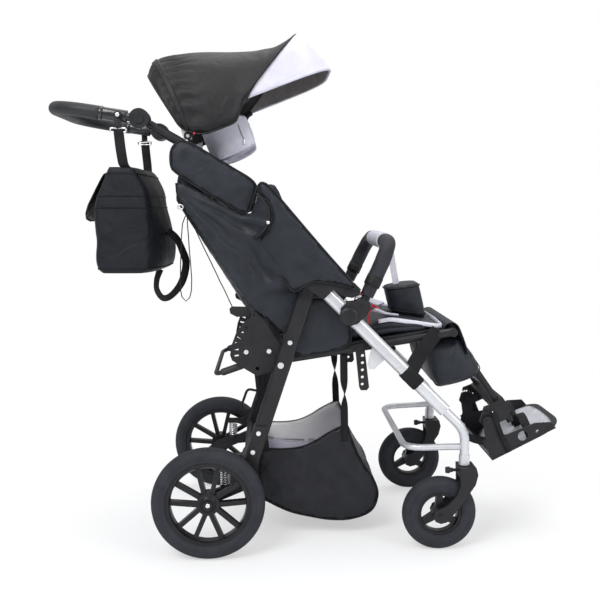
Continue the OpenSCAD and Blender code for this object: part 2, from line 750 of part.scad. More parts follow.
module bag() {
    shape = ring_pts(32, 5);
    color(black) bag_at() loft([for (i = [0:14]) let (
        v = along(0.012, 0.988, i / 14),
        f = bulge(v, 7),
        z = along(-397, -123, v)
    ) [for (p = shape) [4 - 8 * v + p[0] * f * (p[0] > 0 ? 72 + 24 * (1 - p[1] * p[1]) * (1 - v * 0.6) : 70 - 8 * v),
        p[1] * bag_w * (0.93 + 0.07 * f), z]]]);
}

module bag_straps() {
    color(black) bag_at() both() difference() {
        union() {
            ypin(0, 0, -219, -213.5, 9);
            plate([[-9, 0], [9, 0], [18, -90], [26, -100], [28, -195], [4, -195], [2, -100], [0, -90]], -219, -216);
            plate([[4, -165], [28, -165], [28, -195], [4, -195]], -217, -bag_w);
        }
        ypin(0, 0, -230, -200, 4 + fit);
    }
}

// Leg rest, drawn from the knee axis with Z up along the leg
module leg_at() {
    translate([knee[0], 0, knee[1]]) rotate([0, -leg_swing, 0]) children();
}

module legrest_frame() {
    color(black) leg_at() {
        both() difference() {
            union() {
                ypin(0, 0, -132, -94, 18);
                seg([0, -105, -13], [0, -105, -318], 9);
            }
            ypin(0, 0, -140, -90, rail_r + fit);
        }
        translate([-7, -105, -196]) cube([14, 210, 16]);
    }
}

// Calf pad: a thick roll behind the leg tubes and a thin one in front, rounded at their ends
calf_back = [[-9, -25], [-9, -150], [-39, -148], [-77, -131], [-117, -118], [-119, -94], [-104, -38], [-84, 8],
    [-62, 8], [-30, -14]];
calf_front = [[9, -22], [11, -22], [15, -74], [17, -130], [13, -146], [9, -148]];
calf_mid = -80;
function cut_corners(p) = [for (i = [0:len(p) - 1], k = [0.25, 0.75]) along(p[i], p[(i + 1) % len(p)], k)];

module roll(side, x0) {
    shape = cut_corners(side);
    loft([for (i = [0:14]) let (
        v = along(0.012, 0.988, i / 14),
        f = bulge(v, 7)
    ) [for (p = shape) [along(x0, p[0], f), along(-calf_w, calf_w, v), along(calf_mid, p[1], f)]]]);
}

module calf_pad() {
    color(black) leg_at() {
        roll(calf_back, -9);
        roll(calf_front, 9);
    }
}

// Clamp on the two leg tubes, with side plates down to the ankle pins
module footrest_clamp() {
    a = ankle;
    color(black) leg_at() difference() {
        union() {
            translate([-17, -124, -276]) cube([34, 248, 34]);
            both() plate([[16, -242], [16, -286], [-8, -300], [a[0] + 6, a[1] - 20], [a[0] - 16, a[1] - 12],
                [a[0] - 18, a[1] + 10], [-40, -236], [-16, -242]], -124, -117);
            both() ypin(a[0], a[1], -foot_w - 3, -123, 6);
        }
        both() seg([0, -105, -200], [0, -105, -400], 9 + fit);
        both() for (k = [0:6]) ypin(a[0] + 28 * cos(10 + 14 * k), a[1] + 28 * sin(10 + 14 * k), -130, -110, 3.2);
    }
}

// Foot plate, drawn from the ankle pins in the part's own directions
module foot_at() {
    leg_at() translate([ankle[0], 0, ankle[1]]) rotate([0, leg_swing, 0]) children();
}

module footplate() {
    w = foot_w;
    h = 26;
    sole = concat([[0, -w], [150, -w]], [for (i = [1:8]) [150 + 70 * sin(11.25 * i), -w + 70 - 70 * cos(11.25 * i)]],
        [for (i = [0:7]) [150 + 70 * cos(11.25 * i), w - 70 + 70 * sin(11.25 * i)]], [[150, w], [0, w]]);
    color(black) foot_at() {
        difference() {
            union() {
                translate([15, 0, -109]) rotate([0, -foot_tilt, 0]) {
                    linear_extrude(5) polygon(sole);
                    both() plate([[0.5, 1], [196, 1], [190, 22], [150, 40], [70, 46], [34, 60], [0.5, 64]], -w + 1, -w + 6);
                    translate([1, 3 - w, 1]) cube([5, 2 * w - 6, h]);
                }
                both() plate([[-14, 8], [-6, 14], [8, 13], [16, 2], [40, -50], [50, -86], [8, -100], [-4, -60]], -w, -w + 5);
            }
            both() ypin(0, 0, -w - 9, -w + 7, 6 + fit);
            translate([15, 0, -109]) rotate([0, -foot_tilt, 0]) {
                both() ypin(105, 23, -w - 9, -w + 9, 14);
                both() ypin(146, 16, -w - 9, -w + 9, 5);
                for (x = [60, 105, 150], y = [-75, -25, 25, 75]) translate([x, y, -4]) cylinder(r = 9, h = 20);
            }
        }
    }
}

// Recline release bar behind the seat
module release_bar() {
    color(black) difference() {
        union() {
            run([[100, -177, 486], [16, -177, 457], [16, 177, 457], [100, 177, 486]], 6, 26, [-29, 0, 84], 14, 4);
            both() ypin(100, 486, -184, -169, 11);
        }
        both() ypin(100, 486, -200, -150, 5 + fit);
    }
}

place() front_tube();  // front_tube_right
place() left() front_tube();  // front_tube_left
place() front_cross_bar();
place() hinge_castings();
place() seat_frame();
place() seat_pan();
place() seat_cushion();
place() side_guards();
place() seat_side_plates();
place() abductor_pad();
place() bumper_clamps();
place() basket();
place() basket_straps();
place() chassis_fasteners();
place() rear_leg();  // rear_leg_right
place() rear_leg_left();
place() rear_cross_tube();
place() rear_brackets();
place() rear_bolts();
place() swing_arm();  // swing_arm_right
place() left() swing_arm();  // swing_arm_left
place() spring();  // spring_right
place() left() spring();  // spring_left
place() rear_tyre();  // rear_tyre_right
place() left() rear_tyre();  // rear_tyre_left
place() rear_rim();  // rear_rim_right
place() left() rear_rim();  // rear_rim_left
place() brake_pedal();
place() caster_fork();  // caster_fork_right
place() left() caster_fork();  // caster_fork_left
place() front_tyre();  // front_tyre_right
place() left() front_tyre();  // front_tyre_left
place() front_rim();  // front_rim_right
place() left() front_rim();  // front_rim_left
place() swivel_lock();  // swivel_lock_right
place() left() swivel_lock();  // swivel_lock_left
place() back_frame();
place() back_pad();
place() back_wings();
place() top_wings();
place() backrest_hardware();
place() hood_canopy();
place() cord_loop();
place() cord_stay();
place() headrest_pad();
place() headrest_bracket();
place() hood_visor();
place() handle_loop();
place() handle_grip();
place() handle_button();  // handle_button_right
place() left() handle_button();  // handle_button_left
place() bag();
place() bag_straps();
place() bumper_sockets();
place() bumper_pad();
place() legrest_frame();
place() calf_pad();
place() footrest_clamp();
place() footplate();
place() release_bar();
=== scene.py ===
"""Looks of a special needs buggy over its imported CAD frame: soft goods, trim, finishes, light and camera.

Lengths in the classes are millimetres counted from the rear axle or from a joint; at() and Lean.at() turn
them into metres in the part's own frame.
"""

import json
import logging
import math
from dataclasses import dataclass
from enum import Enum
from typing import Callable, Iterable, Optional, Sequence

import bmesh
import bpy
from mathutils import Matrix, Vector, noise
from mathutils.geometry import delaunay_2d_cdt


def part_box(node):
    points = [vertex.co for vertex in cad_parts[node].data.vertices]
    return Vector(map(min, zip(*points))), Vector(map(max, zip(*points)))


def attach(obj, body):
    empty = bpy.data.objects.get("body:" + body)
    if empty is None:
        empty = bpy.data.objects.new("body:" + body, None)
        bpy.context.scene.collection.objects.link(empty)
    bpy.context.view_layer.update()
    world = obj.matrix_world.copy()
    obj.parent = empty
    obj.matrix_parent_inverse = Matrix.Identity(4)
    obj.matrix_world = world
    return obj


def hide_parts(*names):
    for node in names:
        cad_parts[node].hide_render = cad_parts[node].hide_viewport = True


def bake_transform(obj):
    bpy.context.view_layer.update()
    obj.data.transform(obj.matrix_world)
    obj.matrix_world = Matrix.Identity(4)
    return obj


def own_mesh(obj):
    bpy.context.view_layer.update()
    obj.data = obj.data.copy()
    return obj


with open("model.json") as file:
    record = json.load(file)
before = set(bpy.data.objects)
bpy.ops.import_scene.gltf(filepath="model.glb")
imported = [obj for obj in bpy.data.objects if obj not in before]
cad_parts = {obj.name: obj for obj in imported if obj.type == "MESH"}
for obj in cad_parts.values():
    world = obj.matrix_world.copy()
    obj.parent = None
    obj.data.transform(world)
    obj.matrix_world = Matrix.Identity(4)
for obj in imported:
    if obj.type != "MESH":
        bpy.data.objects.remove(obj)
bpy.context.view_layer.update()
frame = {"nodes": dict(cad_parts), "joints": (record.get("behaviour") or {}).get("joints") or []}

LOG = logging.getLogger("buggy")
MM = 0.001
JOINTS = {joint["name"]: joint for joint in frame["joints"]}
AXLE_X = JOINTS["rear_wheel_right"]["pos_m"][0]
SIDES = (-1, 1)
HANDS = ((-1, "right"), (1, "left"))
X_AXIS, Y_AXIS, Z_AXIS = Vector((1.0, 0.0, 0.0)), Vector((0.0, 1.0, 0.0)), Vector((0.0, 0.0, 1.0))
PAD_ENDS = (0.012, 0.988)
ROUGH_SPAN = 0.1
SHEEN_ROUGH = 0.4
MOTTLE_SCALE, CREASE_SCALE = 26.0, 17.0
RELIEF_DEPTH, CREASE_DEPTH, WEAR_RADIUS = 0.4, 9.0, 1.2
SWELL_FRAMES, SWELL_QUALITY, SWELL_MASS = 20, 5, 0.3
WELD, EDGE_ANGLE, EDGE_STEPS = 0.02, 38, 2
Place = Callable[[float, float, float], Vector]
Pair = tuple[float, float]
Triple = tuple[float, float, float]
Piece = bpy.types.Object
Tree, Node, Socket = bpy.types.NodeTree, bpy.types.Node, bpy.types.NodeSocket


# Places


def at(x: float, y: float, z: float) -> Vector:
    """Point in metres from millimetres counted from the rear axle on the floor."""
    return Vector((AXLE_X + x * MM, y * MM, z * MM))


def joint_at(name: str) -> Vector:
    """Middle plane point of a joint, in metres."""
    place = JOINTS[name]["pos_m"]
    return Vector((place[0], 0.0, place[2]))


def outward(side: int) -> Vector:
    """Sideways direction away from the middle plane."""
    return Vector((0.0, side, 0.0))


def right_only(side: int, node: str) -> tuple[str, ...]:
    """The CAD node for a right piece, which stands for both sides, and none for a left one."""
    return (node,) if side < 0 else ()


@dataclass(frozen=True)
class Lean:
    """A frame in the side plane that starts at a joint and leans back by some degrees."""

    origin: Vector
    degrees: float

    def at(self, t: float, y: float, s: float) -> Vector:
        """Point in metres from millimetres forward (t), across (y) and up (s) in the leaning frame."""
        c, n = math.cos(math.radians(self.degrees)), math.sin(math.radians(self.degrees))
        return self.origin + Vector((t * c - s * n, y, t * n + s * c)) * MM


BACK = Lean(joint_at("recline"), 21.35)
SEAT = Lean(joint_at("legrest_lift"), 8.84)
LEG = Lean(joint_at("legrest_lift"), 35.0)
HANDLE = Lean(joint_at("handle_angle"), -8.3)
BAG = Lean(joint_at("bag_swing"), 0.0)
FOOT = Lean(joint_at("footplate_tilt"), 0.0)
TRAY = Lean(FOOT.at(15, 0, -109), 27.0)


# Curves and numbers


def mix(a: float, b: float, f: float) -> float:
    """Value between a and b at fraction f."""
    return a + (b - a) * f


def spread(a: float, b: float, count: int) -> list[float]:
    """Values from a to b in a count of equal steps."""
    return [mix(a, b, i / count) for i in range(count + 1)]


def ease(f: float) -> float:
    """Smooth step of a fraction held between 0 and 1."""
    f = min(1.0, max(0.0, f))
    return f * f * (3 - 2 * f)


def power(v: float, e: float) -> float:
    """Power that keeps the sign of v."""
    return math.copysign(abs(v) ** e, v)


def rounded(v: float, k: float) -> float:
    """End factor of a padded form: 0 at both ends of 0..1 and 1 in the middle."""
    return max(0.0, 1 - abs(2 * v - 1) ** k) ** (1 / k)


def blunt(v: float, k: float) -> float:
    """End factor that stops short of closing the ends."""
    return rounded(min(0.999, max(0.001, v)), k)


def dip(v: float, centre: float, width: float) -> float:
    """Soft bell around a place, for channels and gathers."""
    return math.exp(-(((v - centre) / width) ** 2))


def superellipse(count: int, e: float) -> list[Pair]:
    """Points of a rounded square with exponent e, within -1..1."""
    angles = [2 * math.pi * i / count for i in range(count)]
    return [(power(math.cos(a), 2 / e), power(math.sin(a), 2 / e)) for a in angles]


def cubic(p: Sequence[Vector], f: float) -> Vector:
    """Point at fraction f between the middle two of four points on a smooth curve."""
    return 0.5 * (2 * p[1] + (p[2] - p[0]) * f + (2 * p[0] - 5 * p[1] + 4 * p[2] - p[3]) * f * f
                  + (3 * p[1] - p[0] - 3 * p[2] + p[3]) * f ** 3)


def flow(points: Sequence[Vector], steps: int) -> list[Vector]:
    """Smooth curve through points.

    Args:
        points: places that the curve passes.
        steps: pieces between two points.

    Returns:
        The finer points.
    """
    last = len(points) - 1
    out = []
    for i in range(last):
        near = [points[min(max(i + k, 0), last)] for k in (-1, 0, 1, 2)]
        out += [cubic(near, j / steps) for j in range(steps)]
    return out + [points[-1].copy()]


def evenly(points: Sequence[Vector], step: float, closed: bool = False) -> list[Vector]:
    """Points set at equal steps along a line of points."""
    line = list(points) + ([points[0]] if closed else [])
    total = length_of(line)
    count = max(3, round(total / step))
    out, walked, k = [], 0.0, 0
    for i in range(count + (0 if closed else 1)):
        want = min(total * i / count, total - 1e-9)
        while k < len(line) - 2 and walked + (line[k + 1] - line[k]).length < want:
            walked += (line[k + 1] - line[k]).length
            k += 1
        span = (line[k + 1] - line[k]).length or 1.0
        out.append(line[k].lerp(line[k + 1], (want - walked) / span))
    return out


def bent(points: Sequence[Vector], radius: float, steps: int) -> list[Vector]:
    """Line of points with an arc at each inner corner.

    Args:
        points: corners in metres.
        radius: of the arcs, in millimetres.
        steps: pieces of each arc.

    Returns:
        The line with its arcs.
    """
    r = radius * MM
    out = [points[0]]
    for a, b, c in zip(points, points[1:], points[2:]):
        into, away = (b - a).normalized(), (c - b).normalized()
        angle = math.acos(max(-1.0, min(1.0, into.dot(away))))
        inward = (away - into * into.dot(away)).normalized()
        centre = b - into * r * math.tan(angle / 2) + inward * r
        out += [centre + r * (into * math.sin(angle * k / steps) - inward * math.cos(angle * k / steps))
                for k in range(steps + 1)]
    return out + [points[-1]]


def circle(centre: Vector, radius: float, a: Vector, b: Vector, count: int = 32) -> list[Vector]:
    """Closed ring of points round a centre, with the radius in millimetres."""
    turns = [2 * math.pi * i / count for i in range(count)]
    return [centre + (a * math.cos(t) + b * math.sin(t)) * radius * MM for t in turns]


def length_of(points: Sequence[Vector]) -> float:
    """Length of a line of points."""
    return sum((b - a).length for a, b in zip(points, points[1:]))


def edges(line: Sequence[Vector]) -> Iterable[tuple[Vector, Vector]]:
    """Neighbouring points of a closed line."""
    return zip(line, [*line[1:], line[0]])


def cut_corners(outline: Sequence[Pair], times: int) -> list[Vector]:
    """Closed flat outline with its corners rounded."""
    line = [Vector(p) for p in outline]
    for _ in range(times):
        line = [a.lerp(b, f) for a, b in edges(line) for f in (0.25, 0.75)]
    return line


# Mesh makers


def smooth(mesh: bpy.types.Mesh) -> None:
    """Shade all faces of a mesh smooth."""
    mesh.polygons.foreach_set("use_smooth", [True] * len(mesh.polygons))


def new_object(name: str, data: bpy.types.ID) -> Piece:
    """Object that holds some data, linked into the scene."""
    obj = bpy.data.objects.new(name, data)
    bpy.context.scene.collection.objects.link(obj)
    return obj


def solid(name: str, points: Iterable[Vector], faces: Sequence[Sequence[int]]) -> Piece:
    """Smooth mesh object from points and faces, with its normals turned out."""
    mesh = bpy.data.meshes.new(name)
    mesh.from_pydata([tuple(p) for p in points], [], faces)
    shape = bmesh.new()
    shape.from_mesh(mesh)
    bmesh.ops.recalc_face_normals(shape, faces=shape.faces)
    shape.to_mesh(mesh)
    shape.free()
    smooth(mesh)
    return new_object(name, mesh)


def loft(name: str, rings: Sequence[Sequence[Vector]], capped: bool = True, closed: bool = True) -> Piece:
    """Skin through rows of points.

    Args:
        name: piece name.
        rings: rows with the same count of points.
        capped: whether the first and last row are filled.
        closed: whether each row returns to its start.

    Returns:
        The mesh object.
    """
    n = len(rings[0])
    faces = [[i * n + j, i * n + (j + 1) % n, (i + 1) * n + (j + 1) % n, (i + 1) * n + j]
             for i in range(len(rings) - 1) for j in range(n if closed else n - 1)]
    if capped and closed:
        last = (len(rings) - 1) * n
        faces += [list(range(n - 1, -1, -1)), [last + j for j in range(n)]]
    return solid(name, [p for ring in rings for p in ring], faces)


def cloth(name: str, rows: Sequence[Sequence[Vector]], thick: float) -> Piece:
    """Open sheet through rows of points, with a thickness in millimetres about its middle."""
    obj = loft(name, rows, capped=False, closed=False)
    layer = obj.modifiers.new("thickness", "SOLIDIFY")
    layer.thickness = thick * MM
    layer.offset = 0.0
    return obj


def frames_along(path: Sequence[Vector], closed: bool) -> list[tuple[Vector, Vector]]:
    """Two side directions at each point of a path, carried along without twist."""
    n = len(path)
    out, side = [], None
    for i in range(n):
        before = path[i - 1] if closed or i else path[0]
        after = path[(i + 1) % n] if closed or i < n - 1 else path[-1]
        ahead = (after - before).normalized()
        if side is None:
            side = ahead.orthogonal()
        side = (side - ahead * side.dot(ahead)).normalized()
        out.append((side.copy(), ahead.cross(side)))
    return out


def tube(name: str, path: Sequence[Vector], radius: float, sides: int, closed: bool = False,
         swell: Optional[Callable[[float], float]] = None) -> Piece:
    """Round bar along a path.

    Args:
        name: piece name.
        path: points in metres.
        radius: in millimetres.
        sides: points round the bar.
        closed: whether the path returns to its start.
        swell: factor on the radius over 0..1 of the path.

    Returns:
        The mesh object.
    """
    rings = []
    for i, (p, (a, b)) in enumerate(zip(path, frames_along(path, closed))):
        r = radius * MM * (swell(i / (len(path) - 1)) if swell else 1.0)
        rings.append([p + r * (a * math.cos(2 * math.pi * j / sides) + b * math.sin(2 * math.pi * j / sides))
                      for j in range(sides)])
    return loft(name, rings + ([rings[0]] if closed else []), capped=not closed)


def dome(name: str, centre: Vector, out: Vector, radius: float, height: float) -> Piece:
    """Rounded rivet head on a face, with its radius and height in millimetres."""
    a = out.orthogonal().normalized()
    b = out.cross(a)
    return loft(name, [circle(centre + out * height * MM * math.sin(k), radius * math.cos(k), a, b, 20)
                       for k in (0.0, 0.35, 0.7, 1.0, 1.25, 1.45)])


STRAP_SECTION = ((-1, -0.4), (-0.94, -1), (0.94, -1), (1, -0.4), (1, 0.4), (0.94, 1), (-0.94, 1), (-1, 0.4))


def strap(name: str, path: Sequence[Vector], across: Vector | Sequence[Vector], width: float,
          thick: float = 1.6) -> Piece:
    """Flat webbing along a path.

    Args:
        name: piece name.
        path: points in metres along the middle.
        across: direction of the width, one for all or one for each point.
        width: in millimetres.
        thick: in millimetres.

    Returns:
        The mesh object.
    """
    rings = []
    for i, p in enumerate(path):
        ahead = (path[min(i + 1, len(path) - 1)] - path[max(i - 1, 0)]).normalized()
        wide = across if isinstance(across, Vector) else across[i]
        wide = (wide - ahead * wide.dot(ahead)).normalized()
        deep = ahead.cross(wide)
        rings.append([p + (wide * u * width + deep * v * thick) * MM / 2 for u, v in STRAP_SECTION])
    return loft(name, rings)


def stitches(name: str, lines: Sequence[Sequence[Vector]], pitch: float = 6.0, size: float = 0.5) -> Piece:
    """Rows of sewn stitches, each a short thread along its line."""
    points, faces = [], []
    for line in lines:
        marks = evenly(line, pitch * MM / 2)
        sides = frames_along(marks, False)
        for i in range(0, len(marks) - 1, 2):
            a, b = sides[i]
            base = len(points)
            for p, r in ((marks[i], 0.4), (marks[i].lerp(marks[i + 1], 0.5), 1.0), (marks[i + 1], 0.4)):
                points += [p + size * MM * r * d for d in (a, b, -a, -b)]
            for k in (0, 4):
                faces += [[base + k + j, base + k + (j + 1) % 4, base + k + 4 + (j + 1) % 4, base + k + 4 + j]
                          for j in range(4)]
            faces += [[base + 3, base + 2, base + 1, base], [base + 8, base + 9, base + 10, base + 11]]
    return solid(name, points, faces)


def edge_distance(p: Vector, line: Sequence[Vector]) -> float:
    """Least distance of a flat point to a closed outline."""
    best = 1e9
    for a, b in edges(line):
        d = b - a
        f = min(1.0, max(0.0, (p - a).dot(d) / (d.length_squared or 1e-12)))
        best = min(best, (p - a - d * f).length)
    return best


def within(p: Vector, line: Sequence[Vector]) -> bool:
    """Whether a flat point lies inside a closed outline."""
    inside = False
    for a, b in edges(line):
        if (a.y > p.y) != (b.y > p.y) and p.x < a.x + (p.y - a.y) / (b.y - a.y) * (b.x - a.x):
            inside = not inside
    return inside


def panel(name: str, outline: Sequence[Vector], place: Place, deep: Pair, lip: float, step: float = 9.0,
          fold: Optional[Callable[[float, float], float]] = None) -> Piece:
    """Closed padded panel over a flat outline, crowned on both faces and drawn in to its edge seam.

    Args:
        name: piece name.
        outline: closed flat outline in millimetres.
        place: turns flat u, v and height w into metres.
        deep: crown height in millimetres of the outer and the inner face.
        lip: distance from the edge over which the crown rises.
        step: mesh size in millimetres.
        fold: extra height over u, v for creases, as a share of the crown.

    Returns:
        The mesh object.
    """
    rim = evenly(outline, step, closed=True)
    us, vs = [p.x for p in rim], [p.y for p in rim]
    inner = []
    for i in range(int((max(us) - min(us)) / step) + 1):
        for j in range(int((max(vs) - min(vs)) / step) + 1):
            p = Vector((min(us) + (i + 0.5 * (j % 2)) * step, min(vs) + (j + 0.5) * step))
            if within(p, rim) and edge_distance(p, rim) > 0.45 * step:
                inner.append(p)
    flat, _, tris, _, _, _ = delaunay_2d_cdt(rim + inner, [], [list(range(len(rim)))], 1, 1e-5)
    reach = [edge_distance(p, rim) for p in flat]
    front, back, points = [], [], []
    for p, d in zip(flat, reach):
        f = min(1.0, d / lip)
        h = math.sqrt(max(0.0, 1 - (1 - f) ** 2)) * (1 + (fold(p.x, p.y) if fold else 0.0))
        front.append(len(points))
        points.append(place(p.x, p.y, deep[0] * h))
        if d < 1e-3:
            back.append(front[-1])
        else:
            back.append(len(points))
            points.append(place(p.x, p.y, -deep[1] * h))
    faces = [[front[k] for k in t] for t in tris] + [[back[k] for k in reversed(t)] for t in tris]
    return solid(name, points, faces)


def refine(obj: Piece) -> Piece:
    """Add a subdivision surface and return the piece."""
    layer = obj.modifiers.new("smooth", "SUBSURF")
    layer.levels = layer.render_levels = 1
    return obj


def puff(obj: Piece, voxel: float, pressure: float, most: float) -> Piece:
    """Swell a closed pad with cloth under pressure and keep the result on its mesh.

    Args:
        obj: closed mesh piece.
        voxel: remesh size in millimetres.
        pressure: cloth pressure.
        most: the furthest that a point may move, in millimetres.

    Returns:
        The same piece.
    """
    scene = bpy.context.scene
    mesher = obj.modifiers.new("voxels", "REMESH")
    mesher.mode, mesher.voxel_size, mesher.use_smooth_shade = "VOXEL", voxel * MM, True
    bake_modifiers(obj)
    start = [v.co.copy() for v in obj.data.vertices]
    skin = obj.modifiers.new("swell", "CLOTH")
    skin.settings.quality, skin.settings.mass = SWELL_QUALITY, SWELL_MASS
    skin.settings.use_pressure = True
    skin.settings.uniform_pressure_force = pressure
    skin.settings.effector_weights.gravity = 0.0
    for step in range(1, SWELL_FRAMES + 1):
        scene.frame_set(step)
    swollen = obj.evaluated_get(bpy.context.evaluated_depsgraph_get()).to_mesh()
    moved = [v.co.copy() for v in swollen.vertices]
    obj.modifiers.remove(skin)
    scene.frame_set(1)
    for vertex, a, b in zip(obj.data.vertices, start, moved):
        d = b - a
        vertex.co = a + d * min(1.0, most * MM / (d.length or 1.0))
    return refine(obj)


def bake_modifiers(obj: Piece) -> None:
    """Put the result of a piece's modifiers into its own mesh."""
    bpy.context.view_layer.update()
    done = bpy.data.meshes.new_from_object(obj.evaluated_get(bpy.context.evaluated_depsgraph_get()))
    obj.modifiers.clear()
    obj.data = done
    smooth(done)


# Finishes


class Surface(Enum):
    """Fine relief of a finish."""

    WEAVE = "weave"
    GRAIN = "grain"


@dataclass(frozen=True)
class Finish:
    """A finish of the buggy, in linear colour."""

    name: str
    slot: str
    color: Triple
    shade: Triple
    rough: float
    surface: Surface
    scale: float
    bump: float
    crease: float = 0.0
    metallic: float = 0.0
    sheen: float = 0.0
    spec: float = 0.5
    worn: Optional[Triple] = None


SILVER = Finish("silver coat", "silver_tube", (0.66, 0.67, 0.69), (0.58, 0.59, 0.62), 0.36, Surface.GRAIN,
                1500, 0.05, metallic=0.6, worn=(0.8, 0.8, 0.81))
BLACK_FRAME = Finish("black powder coat", "black_frame", (0.009, 0.009, 0.011), (0.015, 0.015, 0.018), 0.42,
                     Surface.GRAIN, 1400, 0.12, spec=0.32, worn=(0.045, 0.045, 0.05))
BLACK_PLASTIC = Finish("moulded black plastic", "black_plastic", (0.009, 0.009, 0.011),
                       (0.016, 0.016, 0.019), 0.48, Surface.GRAIN, 1100, 0.25, spec=0.3,
                       worn=(0.035, 0.035, 0.04))
GLOSS_PLASTIC = Finish("glossy black plastic", "black_plastic", (0.012, 0.0125, 0.015), (0.02, 0.021, 0.025),
                       0.24, Surface.GRAIN, 1100, 0.06, spec=0.6)
RIM_PLASTIC = Finish("rim plastic", "rim_plastic", (0.006, 0.006, 0.0075), (0.011, 0.011, 0.013), 0.36,
                     Surface.GRAIN, 1200, 0.12, spec=0.3, worn=(0.03, 0.03, 0.034))
RUBBER = Finish("tyre rubber", "tyre", (0.02, 0.021, 0.026), (0.032, 0.033, 0.04), 0.7, Surface.GRAIN, 700,
                0.3, spec=0.22)
MAT_RUBBER = Finish("foot mat rubber", "black_plastic", (0.4, 0.41, 0.44), (0.48, 0.49, 0.52), 0.7,
                    Surface.GRAIN, 700, 0.3, spec=0.2)
SPRING_STEEL = Finish("spring steel", "spring_steel", (0.78, 0.78, 0.8), (0.6, 0.6, 0.63), 0.2,
                      Surface.GRAIN, 2000, 0.04, metallic=1.0)
BOLT_STEEL = Finish("bolt steel", "bolt_steel", (0.8, 0.8, 0.81), (0.66, 0.66, 0.68), 0.3, Surface.GRAIN,
                    2000, 0.05, metallic=0.85)
SEAT_CLOTH = Finish("seat neoprene", "seat_fabric", (0.0075, 0.0098, 0.0145), (0.0145, 0.0182, 0.026), 0.5,
                    Surface.WEAVE, 420, 0.22, crease=0.3, sheen=0.02, spec=0.34)
GREY_CLOTH = Finish("grey cover cloth", "grey_fabric", (0.5, 0.5, 0.59), (0.6, 0.6, 0.68), 0.75,
                    Surface.WEAVE, 430, 0.25, crease=0.2, sheen=0.05, spec=0.2)
VISOR_CLOTH = Finish("visor cloth", "grey_fabric", (0.6, 0.59, 0.67), (0.68, 0.67, 0.74), 0.7, Surface.WEAVE,
                     480, 0.2, crease=0.22, sheen=0.05, spec=0.2)
HOOD_CLOTH = Finish("hood cloth", "hood_fabric", (0.0045, 0.0046, 0.0054), (0.009, 0.0092, 0.0105), 0.52,
                    Surface.WEAVE, 520, 0.2, crease=0.35, sheen=0.01, spec=0.3)
LINING = Finish("hood lining", "hood_fabric", (0.13, 0.12, 0.12), (0.19, 0.178, 0.178), 0.8, Surface.WEAVE,
                480, 0.25, crease=0.3, sheen=0.05, spec=0.2)
THREAD = Finish("dark thread", "seat_fabric", (0.022, 0.023, 0.028), (0.035, 0.036, 0.042), 0.7,
                Surface.GRAIN, 900, 0.2, spec=0.15)
BAG_CLOTH = Finish("bag cloth", "bag_fabric", (0.004, 0.0048, 0.0074), (0.008, 0.0094, 0.014), 0.5,
                   Surface.WEAVE, 360, 0.3, crease=0.4, sheen=0.01, spec=0.24)
BASKET_CLOTH = Finish("basket cloth", "basket_fabric", (0.0065, 0.0068, 0.0095), (0.013, 0.0135, 0.018),
                      0.44, Surface.WEAVE, 380, 0.22, crease=0.45, sheen=0.02, spec=0.28)
BASKET_BAND = Finish("basket lining cloth", "grey_fabric", (0.62, 0.61, 0.7), (0.72, 0.71, 0.79), 0.72,
                     Surface.WEAVE, 400, 0.25, crease=0.3, sheen=0.05, spec=0.2)
# Lighter copy of the basket lining colour: painted light on the lining's upper part.
BASKET_LINING_PAINTED_LIGHT = Finish("basket lining painted light", "grey_fabric", (0.84, 0.835, 0.835), (0.9, 0.895, 0.895), 0.72,
                    Surface.WEAVE, 400, 0.25, crease=0.25, sheen=0.05, spec=0.2)
WEBBING = Finish("black webbing", "webbing", (0.006, 0.006, 0.0075), (0.013, 0.013, 0.0155), 0.6,
                 Surface.WEAVE, 330, 0.6, sheen=0.01, spec=0.18)
RED_WEBBING = Finish("red webbing", "webbing", (0.52, 0.015, 0.03), (0.66, 0.03, 0.05), 0.6, Surface.WEAVE,
                     330, 0.5, sheen=0.05, spec=0.2)
PALE_WEBBING = Finish("pale webbing", "webbing", (0.56, 0.55, 0.63), (0.64, 0.63, 0.7), 0.65, Surface.WEAVE,
                      330, 0.6, sheen=0.05, spec=0.2)
CORD_SKIN = Finish("elastic cord", "cord", (0.012, 0.012, 0.013), (0.03, 0.03, 0.032), 0.65, Surface.WEAVE,
                   900, 0.5, spec=0.2)
BUMPER_FOAM = Finish("bumper cover", "bumper_foam", (0.016, 0.0168, 0.021), (0.028, 0.029, 0.036), 0.58,
                     Surface.WEAVE, 420, 0.3, crease=0.22, sheen=0.03, spec=0.22)
GRIP_FOAM = Finish("grip foam", "grip_foam", (0.014, 0.0145, 0.017), (0.024, 0.025, 0.028), 0.5,
                   Surface.GRAIN, 900, 0.2, spec=0.35)


def set_inputs(node: Node, values: dict[str, object]) -> Node:
    """Set inputs of a node by name and return the node."""
    for label, value in values.items():
        node.inputs[label].default_value = value
    return node


def add(tree: Tree, kind: str, operation: str = "", values: Optional[dict[str, object]] = None) -> Node:
    """New shader node.

    Args:
        tree: where the node goes.
        kind: its type.
        operation: its operation, where it has several.
        values: inputs to set, by name.

    Returns:
        The node.
    """
    node = tree.nodes.new(kind)
    if operation:
        node.operation = operation
    return set_inputs(node, values or {})


def wire(tree: Tree, *links: tuple[Socket, Socket]) -> None:
    """Link pairs of sockets, an output and an input each."""
    for start, end in links:
        tree.links.new(start, end)


Fill = Callable[[Tree, Socket, Socket], None]


